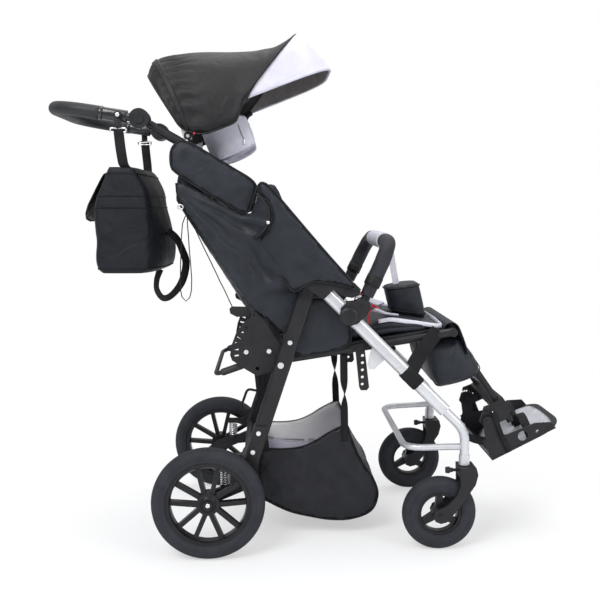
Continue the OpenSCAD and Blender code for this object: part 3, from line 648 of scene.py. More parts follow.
class Effects:
    """Shader node groups that several finishes share, built once."""

    def __init__(self) -> None:
        """Build the groups: tone, fine relief, creases of worn cloth and rubbed edges."""
        self.mottle = self.build("mottle", "Scale", "Mask", self.mottle_nodes)
        self.relief = {
            Surface.WEAVE: self.build("weave", "Scale", "Height", self.weave_nodes),
            Surface.GRAIN: self.build("grain", "Scale", "Height", self.noise_nodes(2.0, 0.0)),
        }
        self.crease = self.build("crease", "Scale", "Height", self.noise_nodes(1.5, 1.4))
        self.wear = self.build("edge wear", "Radius", "Mask", self.wear_nodes)

    @staticmethod
    def build(name: str, take: str, give: str, fill: Fill) -> Tree:
        """Make one node group.

        Args:
            name: group name.
            take: name of its input.
            give: name of its output.
            fill: adds the nodes between the group's input and output sockets.

        Returns:
            The group's tree.
        """
        tree = bpy.data.node_groups.new(name, "ShaderNodeTree")
        tree.interface.new_socket(name=take, in_out="INPUT", socket_type="NodeSocketFloat")
        tree.interface.new_socket(name=give, in_out="OUTPUT", socket_type="NodeSocketFloat")
        fill(tree, add(tree, "NodeGroupInput").outputs[take], add(tree, "NodeGroupOutput").inputs[give])
        return tree

    @staticmethod
    def noise_node(tree: Tree, detail: float, distortion: float) -> Node:
        """Noise over the piece's own coordinates."""
        place = add(tree, "ShaderNodeTexCoord")
        tex = add(tree, "ShaderNodeTexNoise", values={"Detail": detail, "Distortion": distortion})
        wire(tree, (place.outputs["Object"], tex.inputs["Vector"]))
        return tex

    def noise_nodes(self, detail: float, distortion: float) -> Fill:
        """Filler for a group whose height is plain noise."""
        def fill(tree: Tree, scale: Socket, height: Socket) -> None:
            """Noise from the scale to the height."""
            tex = self.noise_node(tree, detail, distortion)
            wire(tree, (scale, tex.inputs["Scale"]), (tex.outputs["Fac"], height))
        return fill

    def mottle_nodes(self, tree: Tree, scale: Socket, mask: Socket) -> None:
        """Cloudy change of tone."""
        tex = self.noise_node(tree, 5.0, 0.4)
        span = add(tree, "ShaderNodeMapRange", values={"From Min": 0.32, "From Max": 0.68})
        wire(tree, (scale, tex.inputs["Scale"]), (tex.outputs["Fac"], span.inputs["Value"]),
             (span.outputs["Result"], mask))

    @staticmethod
    def weave_nodes(tree: Tree, scale: Socket, height: Socket) -> None:
        """Crossing threads that read the same from any side."""
        place, split = add(tree, "ShaderNodeTexCoord"), add(tree, "ShaderNodeSeparateXYZ")
        grow = add(tree, "ShaderNodeVectorMath", "SCALE")
        wire(tree, (place.outputs["Object"], grow.inputs[0]), (scale, grow.inputs["Scale"]),
             (grow.outputs["Vector"], split.inputs["Vector"]))
        waves = []
        for axis in "XYZ":
            turn, wave = add(tree, "ShaderNodeMath", "MULTIPLY"), add(tree, "ShaderNodeMath", "SINE")
            turn.inputs[1].default_value = 2 * math.pi
            wire(tree, (split.outputs[axis], turn.inputs[0]), (turn.outputs["Value"], wave.inputs[0]))
            waves.append(wave.outputs["Value"])
        total = None
        for a, b in ((0, 1), (1, 2), (2, 0)):
            cross = add(tree, "ShaderNodeMath", "MULTIPLY")
            wire(tree, (waves[a], cross.inputs[0]), (waves[b], cross.inputs[1]))
            if total is not None:
                both = add(tree, "ShaderNodeMath", "ADD")
                wire(tree, (total, both.inputs[0]), (cross.outputs["Value"], both.inputs[1]))
                cross = both
            total = cross.outputs["Value"]
        wire(tree, (total, height))

    def wear_nodes(self, tree: Tree, radius: Socket, mask: Socket) -> None:
        """Rubbed edges, where a rounded normal leaves the true one."""
        soft, true = add(tree, "ShaderNodeBevel"), add(tree, "ShaderNodeNewGeometry")
        soft.samples = 4
        dot, rub = add(tree, "ShaderNodeVectorMath", "DOT_PRODUCT"), add(tree, "ShaderNodeMath", "MULTIPLY")
        span = add(tree, "ShaderNodeMapRange", values={"From Min": 0.985, "From Max": 0.86})
        patch = set_inputs(self.noise_node(tree, 4.0, 0.0), {"Scale": 140.0})
        wire(tree, (radius, soft.inputs["Radius"]), (soft.outputs["Normal"], dot.inputs[0]),
             (true.outputs["Normal"], dot.inputs[1]), (dot.outputs["Value"], span.inputs["Value"]),
             (span.outputs["Result"], rub.inputs[0]), (patch.outputs["Fac"], rub.inputs[1]),
             (rub.outputs["Value"], mask))


@dataclass(frozen=True)
class Bend:
    """Two bodies that a piece stretches between, with the points where it leaves one and reaches the other."""

    near: str
    far: str
    start: Vector
    end: Vector


class Shop:
    """Makes each finish's material once and dresses pieces and CAD nodes with it."""

    def __init__(self) -> None:
        """Start with the shared effects and no materials."""
        self.effects = Effects()
        self.made: dict[Finish, bpy.types.Material] = {}

    @staticmethod
    def group(tree: Tree, effect: Tree, **values: float) -> Node:
        """Place a shared effect in a material with its own values."""
        node = add(tree, "ShaderNodeGroup")
        node.node_tree = effect
        return set_inputs(node, values)

    @staticmethod
    def blend_colors(tree: Tree, mask: Socket, low: Triple | Socket, high: Triple) -> Socket:
        """Mix two colours by a mask; low is a colour or a socket."""
        node = add(tree, "ShaderNodeMix")
        node.data_type = "RGBA"
        wire(tree, (mask, node.inputs[0]))
        if isinstance(low, tuple):
            node.inputs[6].default_value = (*low, 1.0)
        else:
            wire(tree, (low, node.inputs[6]))
        node.inputs[7].default_value = (*high, 1.0)
        return node.outputs[2]

    def bump(self, tree: Tree, effect: Tree, scale: float, strength: float, depth: float) -> Node:
        """Bump node over a shared relief, with its depth in millimetres."""
        node = add(tree, "ShaderNodeBump", values={"Strength": strength, "Distance": depth * MM})
        relief = self.group(tree, effect, Scale=scale)
        wire(tree, (relief.outputs["Height"], node.inputs["Height"]))
        return node

    def material(self, finish: Finish) -> bpy.types.Material:
        """Node material of a finish.

        Args:
            finish: the finish to make.

        Returns:
            The material, the same one each time.
        """
        if finish in self.made:
            return self.made[finish]
        made = bpy.data.materials.new(finish.name)
        made.use_nodes = True
        tree = made.node_tree
        skin = set_inputs(tree.nodes["Principled BSDF"], {
            "Metallic": finish.metallic, "Sheen Weight": finish.sheen, "Sheen Roughness": SHEEN_ROUGH,
            "Specular IOR Level": finish.spec})
        mottle = self.group(tree, self.effects.mottle, Scale=MOTTLE_SCALE)
        color = self.blend_colors(tree, mottle.outputs["Mask"], finish.color, finish.shade)
        if finish.worn:
            wear = self.group(tree, self.effects.wear, Radius=WEAR_RADIUS * MM)
            color = self.blend_colors(tree, wear.outputs["Mask"], color, finish.worn)
        span = add(tree, "ShaderNodeMapRange", values={"To Min": finish.rough - ROUGH_SPAN / 2,
                                                       "To Max": finish.rough + ROUGH_SPAN / 2})
        fine = self.bump(tree, self.effects.relief[finish.surface], finish.scale, finish.bump, RELIEF_DEPTH)
        if finish.crease:
            soft = self.bump(tree, self.effects.crease, CREASE_SCALE, finish.crease, CREASE_DEPTH)
            wire(tree, (soft.outputs["Normal"], fine.inputs["Normal"]))
        wire(tree, (mottle.outputs["Mask"], span.inputs["Value"]), (color, skin.inputs["Base Color"]),
             (span.outputs["Result"], skin.inputs["Roughness"]), (fine.outputs["Normal"], skin.inputs["Normal"]))
        self.made[finish] = made
        return made

    def dress(self, obj: Piece, finish: Finish, body: str | Bend, *nodes: str) -> Piece:
        """Give a new piece its finish and the body that it moves with, or for a Bend only bake its place into its
        mesh.

        Args:
            obj: the piece.
            finish: its finish.
            body: the CAD body that it rides on, or a Bend of two bodies, in which case the piece is attached to
                neither.
            nodes: CAD nodes that it stands for.

        Returns:
            The same piece.
        """
        obj.data.materials.clear()
        obj.data.materials.append(self.material(finish))
        if isinstance(body, Bend):
            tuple(body.start)
            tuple(body.end)
            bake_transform(obj)
        else:
            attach(obj, body)
        if nodes:
            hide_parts(*nodes)
        LOG.info("%s in %s", obj.name, finish.name)
        return obj

    def coat(self, finish: Finish, *nodes: str, soften: float = 0.8) -> None:
        """Give CAD nodes a finish and softly rounded edges.

        Args:
            finish: the finish.
            nodes: names of the nodes.
            soften: edge radius in millimetres, 0 for none.
        """
        for name in nodes:
            obj = frame["nodes"][name]
            if not obj.material_slots:
                obj.data.materials.append(None)
            for slot in obj.material_slots:
                slot.material = self.material(finish)
            smooth(obj.data)
            weld = obj.modifiers.new("weld", "WELD")
            weld.merge_threshold = WELD * MM
            if soften:
                edge = obj.modifiers.new("edges", "BEVEL")
                edge.width, edge.segments = soften * MM, EDGE_STEPS
                edge.limit_method, edge.angle_limit = "ANGLE", math.radians(EDGE_ANGLE)
                edge.use_clamp_overlap = True
            shade = obj.modifiers.new("shade", "WEIGHTED_NORMAL")
            shade.keep_sharp = False
            LOG.info("%s coated with %s", name, finish.name)


# Studio


@dataclass
class Studio:
    """Camera at the photograph's angle, pale floor and soft light.

    The eye is in millimetres from the rear axle, the floor and the light panels are in metres.
    """

    eye: Triple = (158.8, -2284.6, 900.4)
    pitch: float = 0.1168
    yaw: float = 0.0372
    lens: float = 48.97
    sensor: float = 36.0
    clip: Pair = (0.05, 60.0)
    floor_half: float = 9.0
    floor_fade: Pair = (0.45, 1.05)
    sky: tuple[float, ...] = (0.0, 1.0, 0.3, 0.9)
    gloss: tuple[float, ...] = (0.1, 0.8, 0.05, 0.7)
    aim: Triple = (0.0, 0.0, 0.65)
    panels: tuple[tuple[str, Triple, float, float], ...] = (
        ("key panel", (-1.5, -2.4, 2.9), 1.5, 74.0), ("fill panel", (2.2, -2.2, 1.6), 1.4, 28.0),
        ("top panel", (0.2, 0.5, 3.2), 2.2, 40.0))

    def camera(self) -> None:
        """Set the camera where the photograph was taken."""
        data = bpy.data.cameras.new("camera")
        data.lens, data.sensor_width = self.lens, self.sensor
        data.clip_start, data.clip_end = self.clip
        obj = new_object("camera", data)
        obj.location = at(*self.eye)
        ahead = Vector((math.sin(self.yaw) * math.cos(self.pitch), math.cos(self.yaw) * math.cos(self.pitch),
                        -math.sin(self.pitch)))
        obj.rotation_euler = ahead.to_track_quat("-Z", "Y").to_euler()
        bpy.context.scene.camera = obj

    def floor(self) -> None:
        """Pale floor that fades to the white backdrop away from the buggy."""
        size = self.floor_half
        corners = [Vector((x, y, 0.0)) for x, y in ((-size, -size), (size, -size), (size, size), (-size, size))]
        obj = solid("floor", corners, [[0, 1, 2, 3]])
        made = bpy.data.materials.new("pale floor")
        made.use_nodes = True
        tree = made.node_tree
        skin = set_inputs(tree.nodes["Principled BSDF"], {
            "Base Color": (0.9, 0.905, 0.915, 1.0), "Roughness": 0.85, "Specular IOR Level": 0.1})
        white, seen = add(tree, "ShaderNodeEmission"), add(tree, "ShaderNodeLightPath")
        place, far = add(tree, "ShaderNodeTexCoord"), add(tree, "ShaderNodeVectorMath", "LENGTH")
        span = add(tree, "ShaderNodeMapRange", values={
            "From Min": self.floor_fade[0], "From Max": self.floor_fade[1], "To Min": 0.5})
        span.interpolation_type = "SMOOTHSTEP"
        both, blend = add(tree, "ShaderNodeMath", "MULTIPLY"), add(tree, "ShaderNodeMixShader")
        wire(tree, (place.outputs["Object"], far.inputs[0]), (far.outputs["Value"], span.inputs["Value"]),
             (span.outputs["Result"], both.inputs[0]), (seen.outputs["Is Camera Ray"], both.inputs[1]),
             (both.outputs["Value"], blend.inputs[0]), (skin.outputs[0], blend.inputs[1]),
             (white.outputs[0], blend.inputs[2]),
             (blend.outputs[0], tree.nodes["Material Output"].inputs["Surface"]))
        obj.data.materials.append(made)

    def light(self) -> None:
        """White backdrop, a sky that brightens upward and three soft panels."""
        world = bpy.data.worlds.new("studio")
        world.use_nodes = True
        bpy.context.scene.world = world
        tree = world.node_tree
        sky = set_inputs(tree.nodes["Background"], {"Color": (0.97, 0.98, 1.0, 1.0)})
        white = add(tree, "ShaderNodeBackground", values={"Color": (1.0, 1.0, 1.0, 1.0)})
        way, split = add(tree, "ShaderNodeTexCoord"), add(tree, "ShaderNodeSeparateXYZ")
        seen, blend = add(tree, "ShaderNodeLightPath"), add(tree, "ShaderNodeMixShader")
        shine = add(tree, "ShaderNodeMath", "MULTIPLY")
        first, any_ray = add(tree, "ShaderNodeMath", "MAXIMUM"), add(tree, "ShaderNodeMath", "MAXIMUM")

        def upward(start: float, end: float, low: float, high: float) -> Socket:
            """Value that rises from low to high as the ray's upward part goes from start to end."""
            node = add(tree, "ShaderNodeMapRange", values={
                "From Min": start, "From Max": end, "To Min": low, "To Max": high})
            wire(tree, (split.outputs["Z"], node.inputs["Value"]))
            return node.outputs["Result"]

        wire(tree, (way.outputs["Generated"], split.inputs[0]), (upward(*self.sky), sky.inputs["Strength"]),
             (seen.outputs["Is Glossy Ray"], shine.inputs[0]), (upward(*self.gloss), shine.inputs[1]),
             (seen.outputs["Is Camera Ray"], first.inputs[0]), (shine.outputs["Value"], first.inputs[1]),
             (first.outputs["Value"], any_ray.inputs[0]),
             (seen.outputs["Is Transmission Ray"], any_ray.inputs[1]),
             (any_ray.outputs["Value"], blend.inputs[0]), (sky.outputs[0], blend.inputs[1]),
             (white.outputs[0], blend.inputs[2]), (blend.outputs[0], tree.nodes["World Output"].inputs["Surface"]))
        for name, place, size, watts in self.panels:
            data = bpy.data.lights.new(name, "AREA")
            data.size, data.energy = size, watts
            lamp = new_object(name, data)
            lamp.location = place
            lamp.rotation_euler = (Vector(self.aim) - lamp.location).to_track_quat("-Z", "Y").to_euler()
        bpy.context.scene.view_settings.view_transform = "Standard"

    def build(self) -> None:
        """Camera, floor and light."""
        self.camera()
        self.floor()
        self.light()


# Backrest cords


@dataclass
class Cords:
    """The two elastic cords behind the back."""

    shop: Shop
    thick: float = 2.8
    loop: tuple[Triple, ...] = (
        (-57, -135, 874), (-62, -136, 866), (-68, -136, 850), (-71, -137, 820), (-73, -137, 780), (-75, -137, 740),
        (-76, -137, 700), (-76, -136, 676), (-73, -135, 658), (-63, -133, 646), (-53, -131, 655), (-48, -130, 675),
        (-47, -130, 705), (-49, -129, 740), (-52, -129, 780), (-54, -129, 820), (-56, -129, 850), (-56, -129, 870))
    stay: tuple[Triple, ...] = (
        (-52, -150, 875), (-44, -152, 858), (-36, -153, 841), (-28, -155, 824), (-20, -156, 806), (-12, -158, 789),
        (-4, -159, 772), (5, -161, 754), (13, -163, 737), (21, -164, 720), (29, -166, 702), (38, -167, 685),
        (46, -169, 668), (54, -170, 650), (62, -172, 633), (65, -174, 628))

    def lay(self, name: str, route: Sequence[Triple]) -> None:
        """Lay one cord along its route.

        Args:
            name: the CAD node that it stands for.
            route: its points.
        """
        path = [at(*p) for p in route]
        curve = bpy.data.curves.new(name + "_line", "CURVE")
        curve.dimensions = "3D"
        curve.bevel_depth = self.thick * MM / 2
        curve.bevel_resolution = 3
        curve.use_fill_caps = True
        line = curve.splines.new("POLY")
        line.points.add(len(path) - 1)
        for point, p in zip(line.points, path):
            point.co = (*p, 1.0)
        obj = new_object(name + "_line", curve)
        self.shop.dress(obj, CORD_SKIN, "backrest", name)
        tuple(path[0])
        length_of(path)

    def build(self) -> None:
        """Both cords."""
        self.lay("cord_loop", self.loop)
        self.lay("cord_stay", self.stay)


# Hood


@dataclass
class Hood:
    """Folding hood: black canopy on bows, grey visor with a hemmed rim, dark lining."""

    shop: Shop
    half: float = 185.0
    across: int = 88
    bows: tuple[tuple[float, float, float, float], ...] = (
        (-70, 1100, -163, 1243), (-63, 1093, -151, 1273), (-50, 1088, -118, 1292), (-22, 1086, -48, 1302),
        (12, 1088, 32, 1306), (48, 1096, 110, 1309), (72, 1106, 150, 1312), (82, 1124, 186, 1318),
        (91, 1160, 234, 1346))
    visor: tuple[tuple[float, float, float, float], ...] = (
        (94.5, 1161, 237.5, 1347), (97, 1164, 262, 1330), (101, 1166, 292, 1294), (106, 1168, 322, 1251))
    pivot: Pair = (-47.0, 1073.0)
    bow_y: float = 174.0

    def bow(self, table: Sequence[tuple[float, ...]], u: float) -> Vector:
        """Base and crown of the bow at place u of a table of bows."""
        last = len(table) - 1
        i = min(int(u), last - 1)
        rows = [Vector(table[min(max(i + k, 0), last)]) for k in (-1, 0, 1, 2)]
        return cubic(rows, u - i)

    def point(self, table: Sequence[tuple[float, ...]], u: float, v: float, sink: float) -> Vector:
        """Point of the hood.

        Args:
            table: the bows.
            u: place from the rear bow to the front one.
            v: 0 to 1 from the left base over the crown to the right base.
            sink: distance inside the outer skin, in millimetres.

        Returns:
            The point in metres.
        """
        b = self.bow(table, u)
        front = table is self.visor
        e = mix(0.6, 0.45, u / 3) if front else mix(0.82, 0.6, min(1.0, u / 7))
        k = power(math.sin(math.pi * v), e) * (1 - sink / 260)
        y = (self.half - (6.0 if front else 0.0) - sink) * power(math.cos(math.pi * v), e)
        sag = 0.0 if front else 9.0 * dip(u, 3.3, 1.2) * abs(2 * v - 1) ** 8
        return at(b[0] + (b[2] - b[0]) * k, y, b[1] + (b[3] - b[1]) * k - sag)

    @staticmethod
    def band_at(v: float) -> float:
        """Place of the rear band from crown to base: it leans forward as it comes down."""
        return 1.1 + 0.95 * abs(2 * v - 1)

    def gathers(self, u: float, v: float) -> float:
        """How far the canopy sinks in at u, v: gathers beside the rear band and slack between bows."""
        band = self.band_at(v)
        beside = 0.7 * dip(u, band - 0.6, 0.35) + 1.25 * dip(u, band + 0.85, 0.6)
        ripple = 0.5 + 0.5 * math.sin(2 * math.pi * (v * 21 + 0.35 * noise.noise(Vector((u * 1.7, v * 9, 0)))))
        slack = 5.0 * dip(u, 4.9, 1.2) * math.sin(math.pi * v) ** 0.5
        lumps = 1.6 * (0.5 + 0.5 * noise.noise(Vector((u * 1.3, v * 7, 3.1))))
        return 1.2 + 5.0 * beside * ripple + slack + lumps * (1 - dip(u, 8.0, 0.5))

    def build(self) -> None:
        """Canopy with its band and bindings, then the visor."""
        n, shop = self.across, self.shop
        us = [8 * i / 60 for i in range(61)]
        rows = [[self.point(self.bows, u, j / n, self.gathers(u, j / n)) for j in range(n + 1)] for u in us]
        bend = Bend("backrest", "hood_front", at(-88, 0, 1301), at(94.5, 0, 1161))
        canopy = shop.dress(cloth("hood_canopy_cloth", rows, 1.8), HOOD_CLOTH, bend, "hood_canopy")
        band_rows = [[self.point(self.bows, self.band_at(j / n) + u, j / n, -1.0) for j in range(n + 1)]
                     for u in (-0.25, -0.15, 0.0, 0.15, 0.25)]
        shop.dress(cloth("hood_rear_band", band_rows, 1.4), HOOD_CLOTH, bend)
        sewn = [[self.point(self.bows, self.band_at(j / n) + u, j / n, -2.1) for j in range(n + 1)]
                for u in (-0.18, 0.18)]
        shop.dress(stitches("hood_band_stitches", sewn), THREAD, bend)
        front = [self.point(self.bows, 8.0, j / n, 1.0) for j in range(n + 1)]
        base = [[self.point(self.bows, u, v, 1.2) for u in us] for v in (0.0, 1.0)]
        for name, path, r in (("hood_front_binding", front, 2.0), ("hood_base_binding_left", base[0], 2.4),
                              ("hood_base_binding_right", base[1], 2.4),
                              ("hood_rear_binding", rows[0], 2.6)):
            shop.dress(tube(name, path, r, 8), HOOD_CLOTH, bend)
        self.build_visor()

    def build_visor(self) -> None:
        """Visor cloth with hem, lining and rim, the flat side bows and the clip buttons."""
        n, shop = self.across, self.shop
        us = [3 * i / 24 for i in range(25)]

        def row(u: float, sink: float) -> list[Vector]:
            """One line of the visor across the hood."""
            return [self.point(self.visor, u, j / n, sink + 2.0 * dip(u, 1.5, 0.9) * math.sin(math.pi * j / n))
                    for j in range(n + 1)]

        skin = shop.dress(cloth("hood_visor_cloth", [row(u, 1.0) for u in us], 1.4), VISOR_CLOTH, "hood_front",
                          "hood_visor")
        shop.dress(cloth("hood_visor_lining", [row(u, 3.4) for u in us], 1.0), LINING, "hood_front")
        hem = [row(u, -0.4) for u in (2.62, 2.75, 2.88, 3.0)]
        shop.dress(cloth("hood_visor_hem", hem, 1.2), VISOR_CLOTH, "hood_front")
        shop.dress(tube("hood_visor_rim", row(3.0, 1.2), 3.0, 10), GREY_CLOTH, "hood_front")
        shop.dress(stitches("hood_hem_stitches", [row(2.66, -1.2)]), GREY_CLOTH, "hood_front")
        px, pz = self.pivot
        for side, word in HANDS:
            path = [at(px + t * 155, side * self.bow_y, pz + t * 95 - 6 * math.sin(math.pi * t))
                    for t in spread(0, 1, 12)]
            bar = strap(f"hood_side_bow_{word}", path, Vector((-0.5, 0.0, 0.85)), 13.0, 2.4)
            shop.dress(bar, BLACK_PLASTIC, "hood_front")
            ring = [at(px + 8 * math.cos(a), side * self.bow_y, pz + 8 * math.sin(a)) for a in
                    [2 * math.pi * i / 24 for i in range(24)]]
            shop.dress(tube(f"hood_bow_eye_{word}", ring, 2.6, 8, closed=True), BLACK_PLASTIC, "hood_front")
            button = dome(f"hood_clip_button_{word}", at(-30, side * 186, 1078), outward(side), 3.0, 2.0)
            shop.dress(button, RED_WEBBING, "backrest")


# Headrest


@dataclass
class Headrest:
    """Grey headrest bent round the head, with piping and a zip at its side."""

    shop: Shop
    thick: float = 21.0
    tall: float = 66.0
    reach: float = 118.0

    def place(self, v: float, p: Pair, grow: float) -> Vector:
        """Point of the pad at place v across it and p on its section, grown by some millimetres."""
        f = rounded(v, 4.5)
        a = mix(math.pi / 2, -math.pi / 2, v)
        q = abs(2 * v - 1)
        y = self.reach * power(math.sin(a), 0.7)
        t = 62 + 116 * q ** 4
        turn = Vector((1.0, -math.copysign(1.0, math.sin(a)) * abs(math.sin(a)) * 3.4 * q * q)).normalized()
        up = 566 - 18 * q * q
        wide = self.thick * f + grow
        high = self.tall * f - 4 * dip(v, 0.5, 0.02) + grow
        return BACK.at(t + turn.x * p[0] * wide, y + turn.y * p[0] * wide, up + p[1] * high)

    def build(self) -> None:
        """Pad, piping, zip and pull."""
        shop = self.shop
        shape = superellipse(36, 2.8)
        stations = spread(*PAD_ENDS, 48)
        pad = loft("headrest_cushion", [[self.place(v, p, -2.0) for p in shape] for v in stations])
        shop.dress(puff(pad, 6.0, 3.0, 3.0), GREY_CLOTH, "headrest", "headrest_pad")
        for name, p in (("headrest_piping_front_low", (0.86, -0.82)), ("headrest_piping_rear_low", (-0.86, -0.82)),
                        ("headrest_piping_front_top", (0.86, 0.82)), ("headrest_piping_rear_top", (-0.86, 0.82))):
            path = [self.place(v, p, -0.6) for v in spread(0.02, 0.98, 60)]
            shop.dress(tube(name, path, 2.0, 8), GREY_CLOTH, "headrest")
        zipped = [self.place(0.96, (-math.cos(a), math.sin(a) * 0.9), 0.2) for a in spread(-0.9, 0.9, 20)]
        shop.dress(tube("headrest_zip", zipped, 1.6, 6), LINING, "headrest")
        shop.dress(stitches("headrest_zip_teeth", [zipped], 3.0, 1.9), BOLT_STEEL, "headrest")
        hang = [zipped[5] + Vector((0.0, -0.0025, -0.0015 * i)) for i in range(10)]
        shop.dress(strap("headrest_zip_pull", hang, X_AXIS, 4.0, 1.4), BOLT_STEEL, "headrest")


# Backrest


@dataclass
class Backrest:
    """Padded back with gathered cloth at its sides and two pairs of side wings."""

    shop: Shop
    front: float = 25.0
    inner_y: float = 192.0
    outer_y: float = 259.0
    low_wing: tuple[Pair, ...] = (
        (133, 410), (150, 406), (164, 374), (195, 283), (233, 175), (262, 99), (266, 73), (242, 94), (209, 115),
        (176, 133), (149, 133), (121, 123), (113, 129), (99, 175), (79, 246), (69, 282), (94, 283), (120, 297),
        (141, 328), (141, 362), (123, 383))
    top_wing: tuple[Pair, ...] = (
        (0, 580), (-24, 580), (-44, 566), (-58, 528), (-52, 512), (-3, 442), (62, 360), (76, 352), (88, 354),
        (112, 388), (134, 412), (79, 481), (34, 540))
    side_cloth: tuple[Pair, ...] = (
        (-58, 500), (-74, 450), (-45, 331), (-22, 199), (0, 112), (14, 96), (32, 68), (52, 22), (112, 16), (124, 110),
        (132, 200), (170, 280), (176, 362), (168, 400), (128, 392), (92, 345), (64, 350), (0, 430))
    hoop: tuple[Triple, ...] = (
        (72, 214, 287), (98, 234, 294), (121, 250, 311), (133, 257, 338), (130, 256, 364), (121, 250, 388))

    def pad_point(self, v: float, p: Pair) -> Vector:
        """Point of the back pad at height v and section place p."""
        f = rounded(v, 6)
        s = mix(58, 524, v)
        g = 1 - 0.16 * dip(v, 0.3, 0.03) - 0.16 * dip(v, 0.6, 0.03)
        rear = mix(6, 86, v / 0.84) if v < 0.84 else mix(86, 58, (v - 0.84) / 0.16)
        fold = 2.2 * noise.noise(Vector((p[0] * 9, v * 26, 1.7)))
        fold += 1.6 * math.sin(p[0] * 34 + 3 * v) * ease((v - 0.45) * 3)
        deep = -(rear + min(1.2, fold)) if p[1] > 0 else -self.front * g
        return BACK.at(p[1] * deep * f, p[0] * 164 * (0.9 + 0.1 * f), s)

    def build(self) -> None:
        """Back pad with its seams, and the wings and side cloth of both sides."""
        shop = self.shop
        shape = superellipse(72, 6)
        rings = [[self.pad_point(v, p) for p in shape] for v in spread(*PAD_ENDS, 72)]
        pad = shop.dress(loft("back_cushion", rings), SEAT_CLOTH, "backrest", "back_pad")
        for name, place in (("back_seam_low", 0.3), ("back_seam_high", 0.6)):
            line = [self.pad_point(place, (x, -1.0)) for x in spread(-0.93, 0.93, 30)]
            shop.dress(stitches(name, [line]), THREAD, "backrest")
        for side, word in HANDS:
            low, top = self.wing_place(side, self.outer_y), self.wing_place(side, self.inner_y)
            self.wing(f"back_wing_{word}", self.low_wing, low, side, "back_wings", (5.0, 4.6), 16.0)
            self.wing(f"top_wing_{word}", self.top_wing, top, side, "top_wings", (5.4, 4.6), 22.0)
            self.side_panel(side, word)

    def side_panel(self, side: int, word: str) -> None:
        """Gathered cloth between the back tube and the lower wing, with the hoop that shows in the wing's cut-out.

        Args:
            side: -1 for the right side.
            word: side word for names.
        """
        shop = self.shop

        def place(t: float, s: float, w: float) -> Vector:
            """Point on the side cloth: just inside the wing, and flat beside the seat's plates."""
            free = ease((s - 112) / 50)
            y = mix(186.2, mix(190.5, 248.0, ease((t - 52) / 96)), free)
            return BACK.at(t, side * (y + w * mix(0.12, 1.0, free)), s)

        def fold(u: float, v: float) -> float:
            """Gathers that spread from the cloth's upper rear corner."""
            turn = math.atan2(v - 480, u + 72)
            wander = 0.5 * noise.noise(Vector((u * 0.012, v * 0.012, 2.0)))
            return 0.85 * math.sin(30 * (turn + 0.2 * wander)) * ease((470 - v) / 60) + 0.4 * wander

        piece = panel(f"back_side_cloth_{word}", cut_corners(self.side_cloth, 1), place, (6.0, 0.6), 16.0, 6.0, fold)
        shop.dress(piece, SEAT_CLOTH, "backrest")
        path = flow([BACK.at(t, side * y, s) for t, y, s in self.hoop], 5)
        shop.dress(tube(f"side_hoop_{word}", path, 4.0, 12), BLACK_PLASTIC, "backrest")
        rivet = dome(f"side_hoop_rivet_{word}", BACK.at(121, side * 253.4, 311), outward(side), 5.0, 3.0)
        shop.dress(rivet, BOLT_STEEL, "backrest")

    def wing_place(self, side: int, outer_y: float) -> Place:
        """Where a wing's flat points lie: along the back tube, then swung out to outer_y toward the front."""
        def place(t: float, s: float, w: float) -> Vector:
            """Point on the wing."""
            return BACK.at(t, side * (mix(self.inner_y, outer_y, ease((t - 52) / 96)) + w), s)
        return place

    def wing(self, name: str, outline: Sequence[Pair], place: Place, side: int, node: str, deep: Pair,
             lip: float) -> None:
        """Make one padded wing with its piping and seam.

        Args:
            name: piece name.
            outline: flat outline in the back's frame.
            place: where flat points lie.
            side: -1 for the right side.
            node: CAD node that the right wing stands for.
            deep: crown of the outer and inner face.
            lip: width of the drawn-in edge.
        """
        shop = self.shop
        line = cut_corners(outline, 2)

        def fold(u: float, v: float) -> float:
            """Soft waves of the neoprene."""
            return 0.3 * noise.noise(Vector((u * 0.018, v * 0.018, 0.4)))

        pad = panel(name, line, place, deep, lip, fold=fold)
        shop.dress(pad, SEAT_CLOTH, "backrest", *right_only(side, node))
        rim = evenly(line, 7.0, closed=True)
        edge = [place(p.x, p.y, 0.0) for p in rim]
        shop.dress(tube(name + "_piping", edge, 2.4, 8, closed=True), HOOD_CLOTH, "backrest")
        middle = sum(rim, Vector((0.0, 0.0))) / len(rim)
        seam = [p + (middle - p).normalized() * 13 for p in rim]
        seam = [p for p in seam if within(p, line)]
        sewn = [place(p.x, p.y, deep[0] * 0.93 + 0.3) for p in seam]
        shop.dress(stitches(name + "_seam", [sewn]), THREAD, "backrest")


# Seat


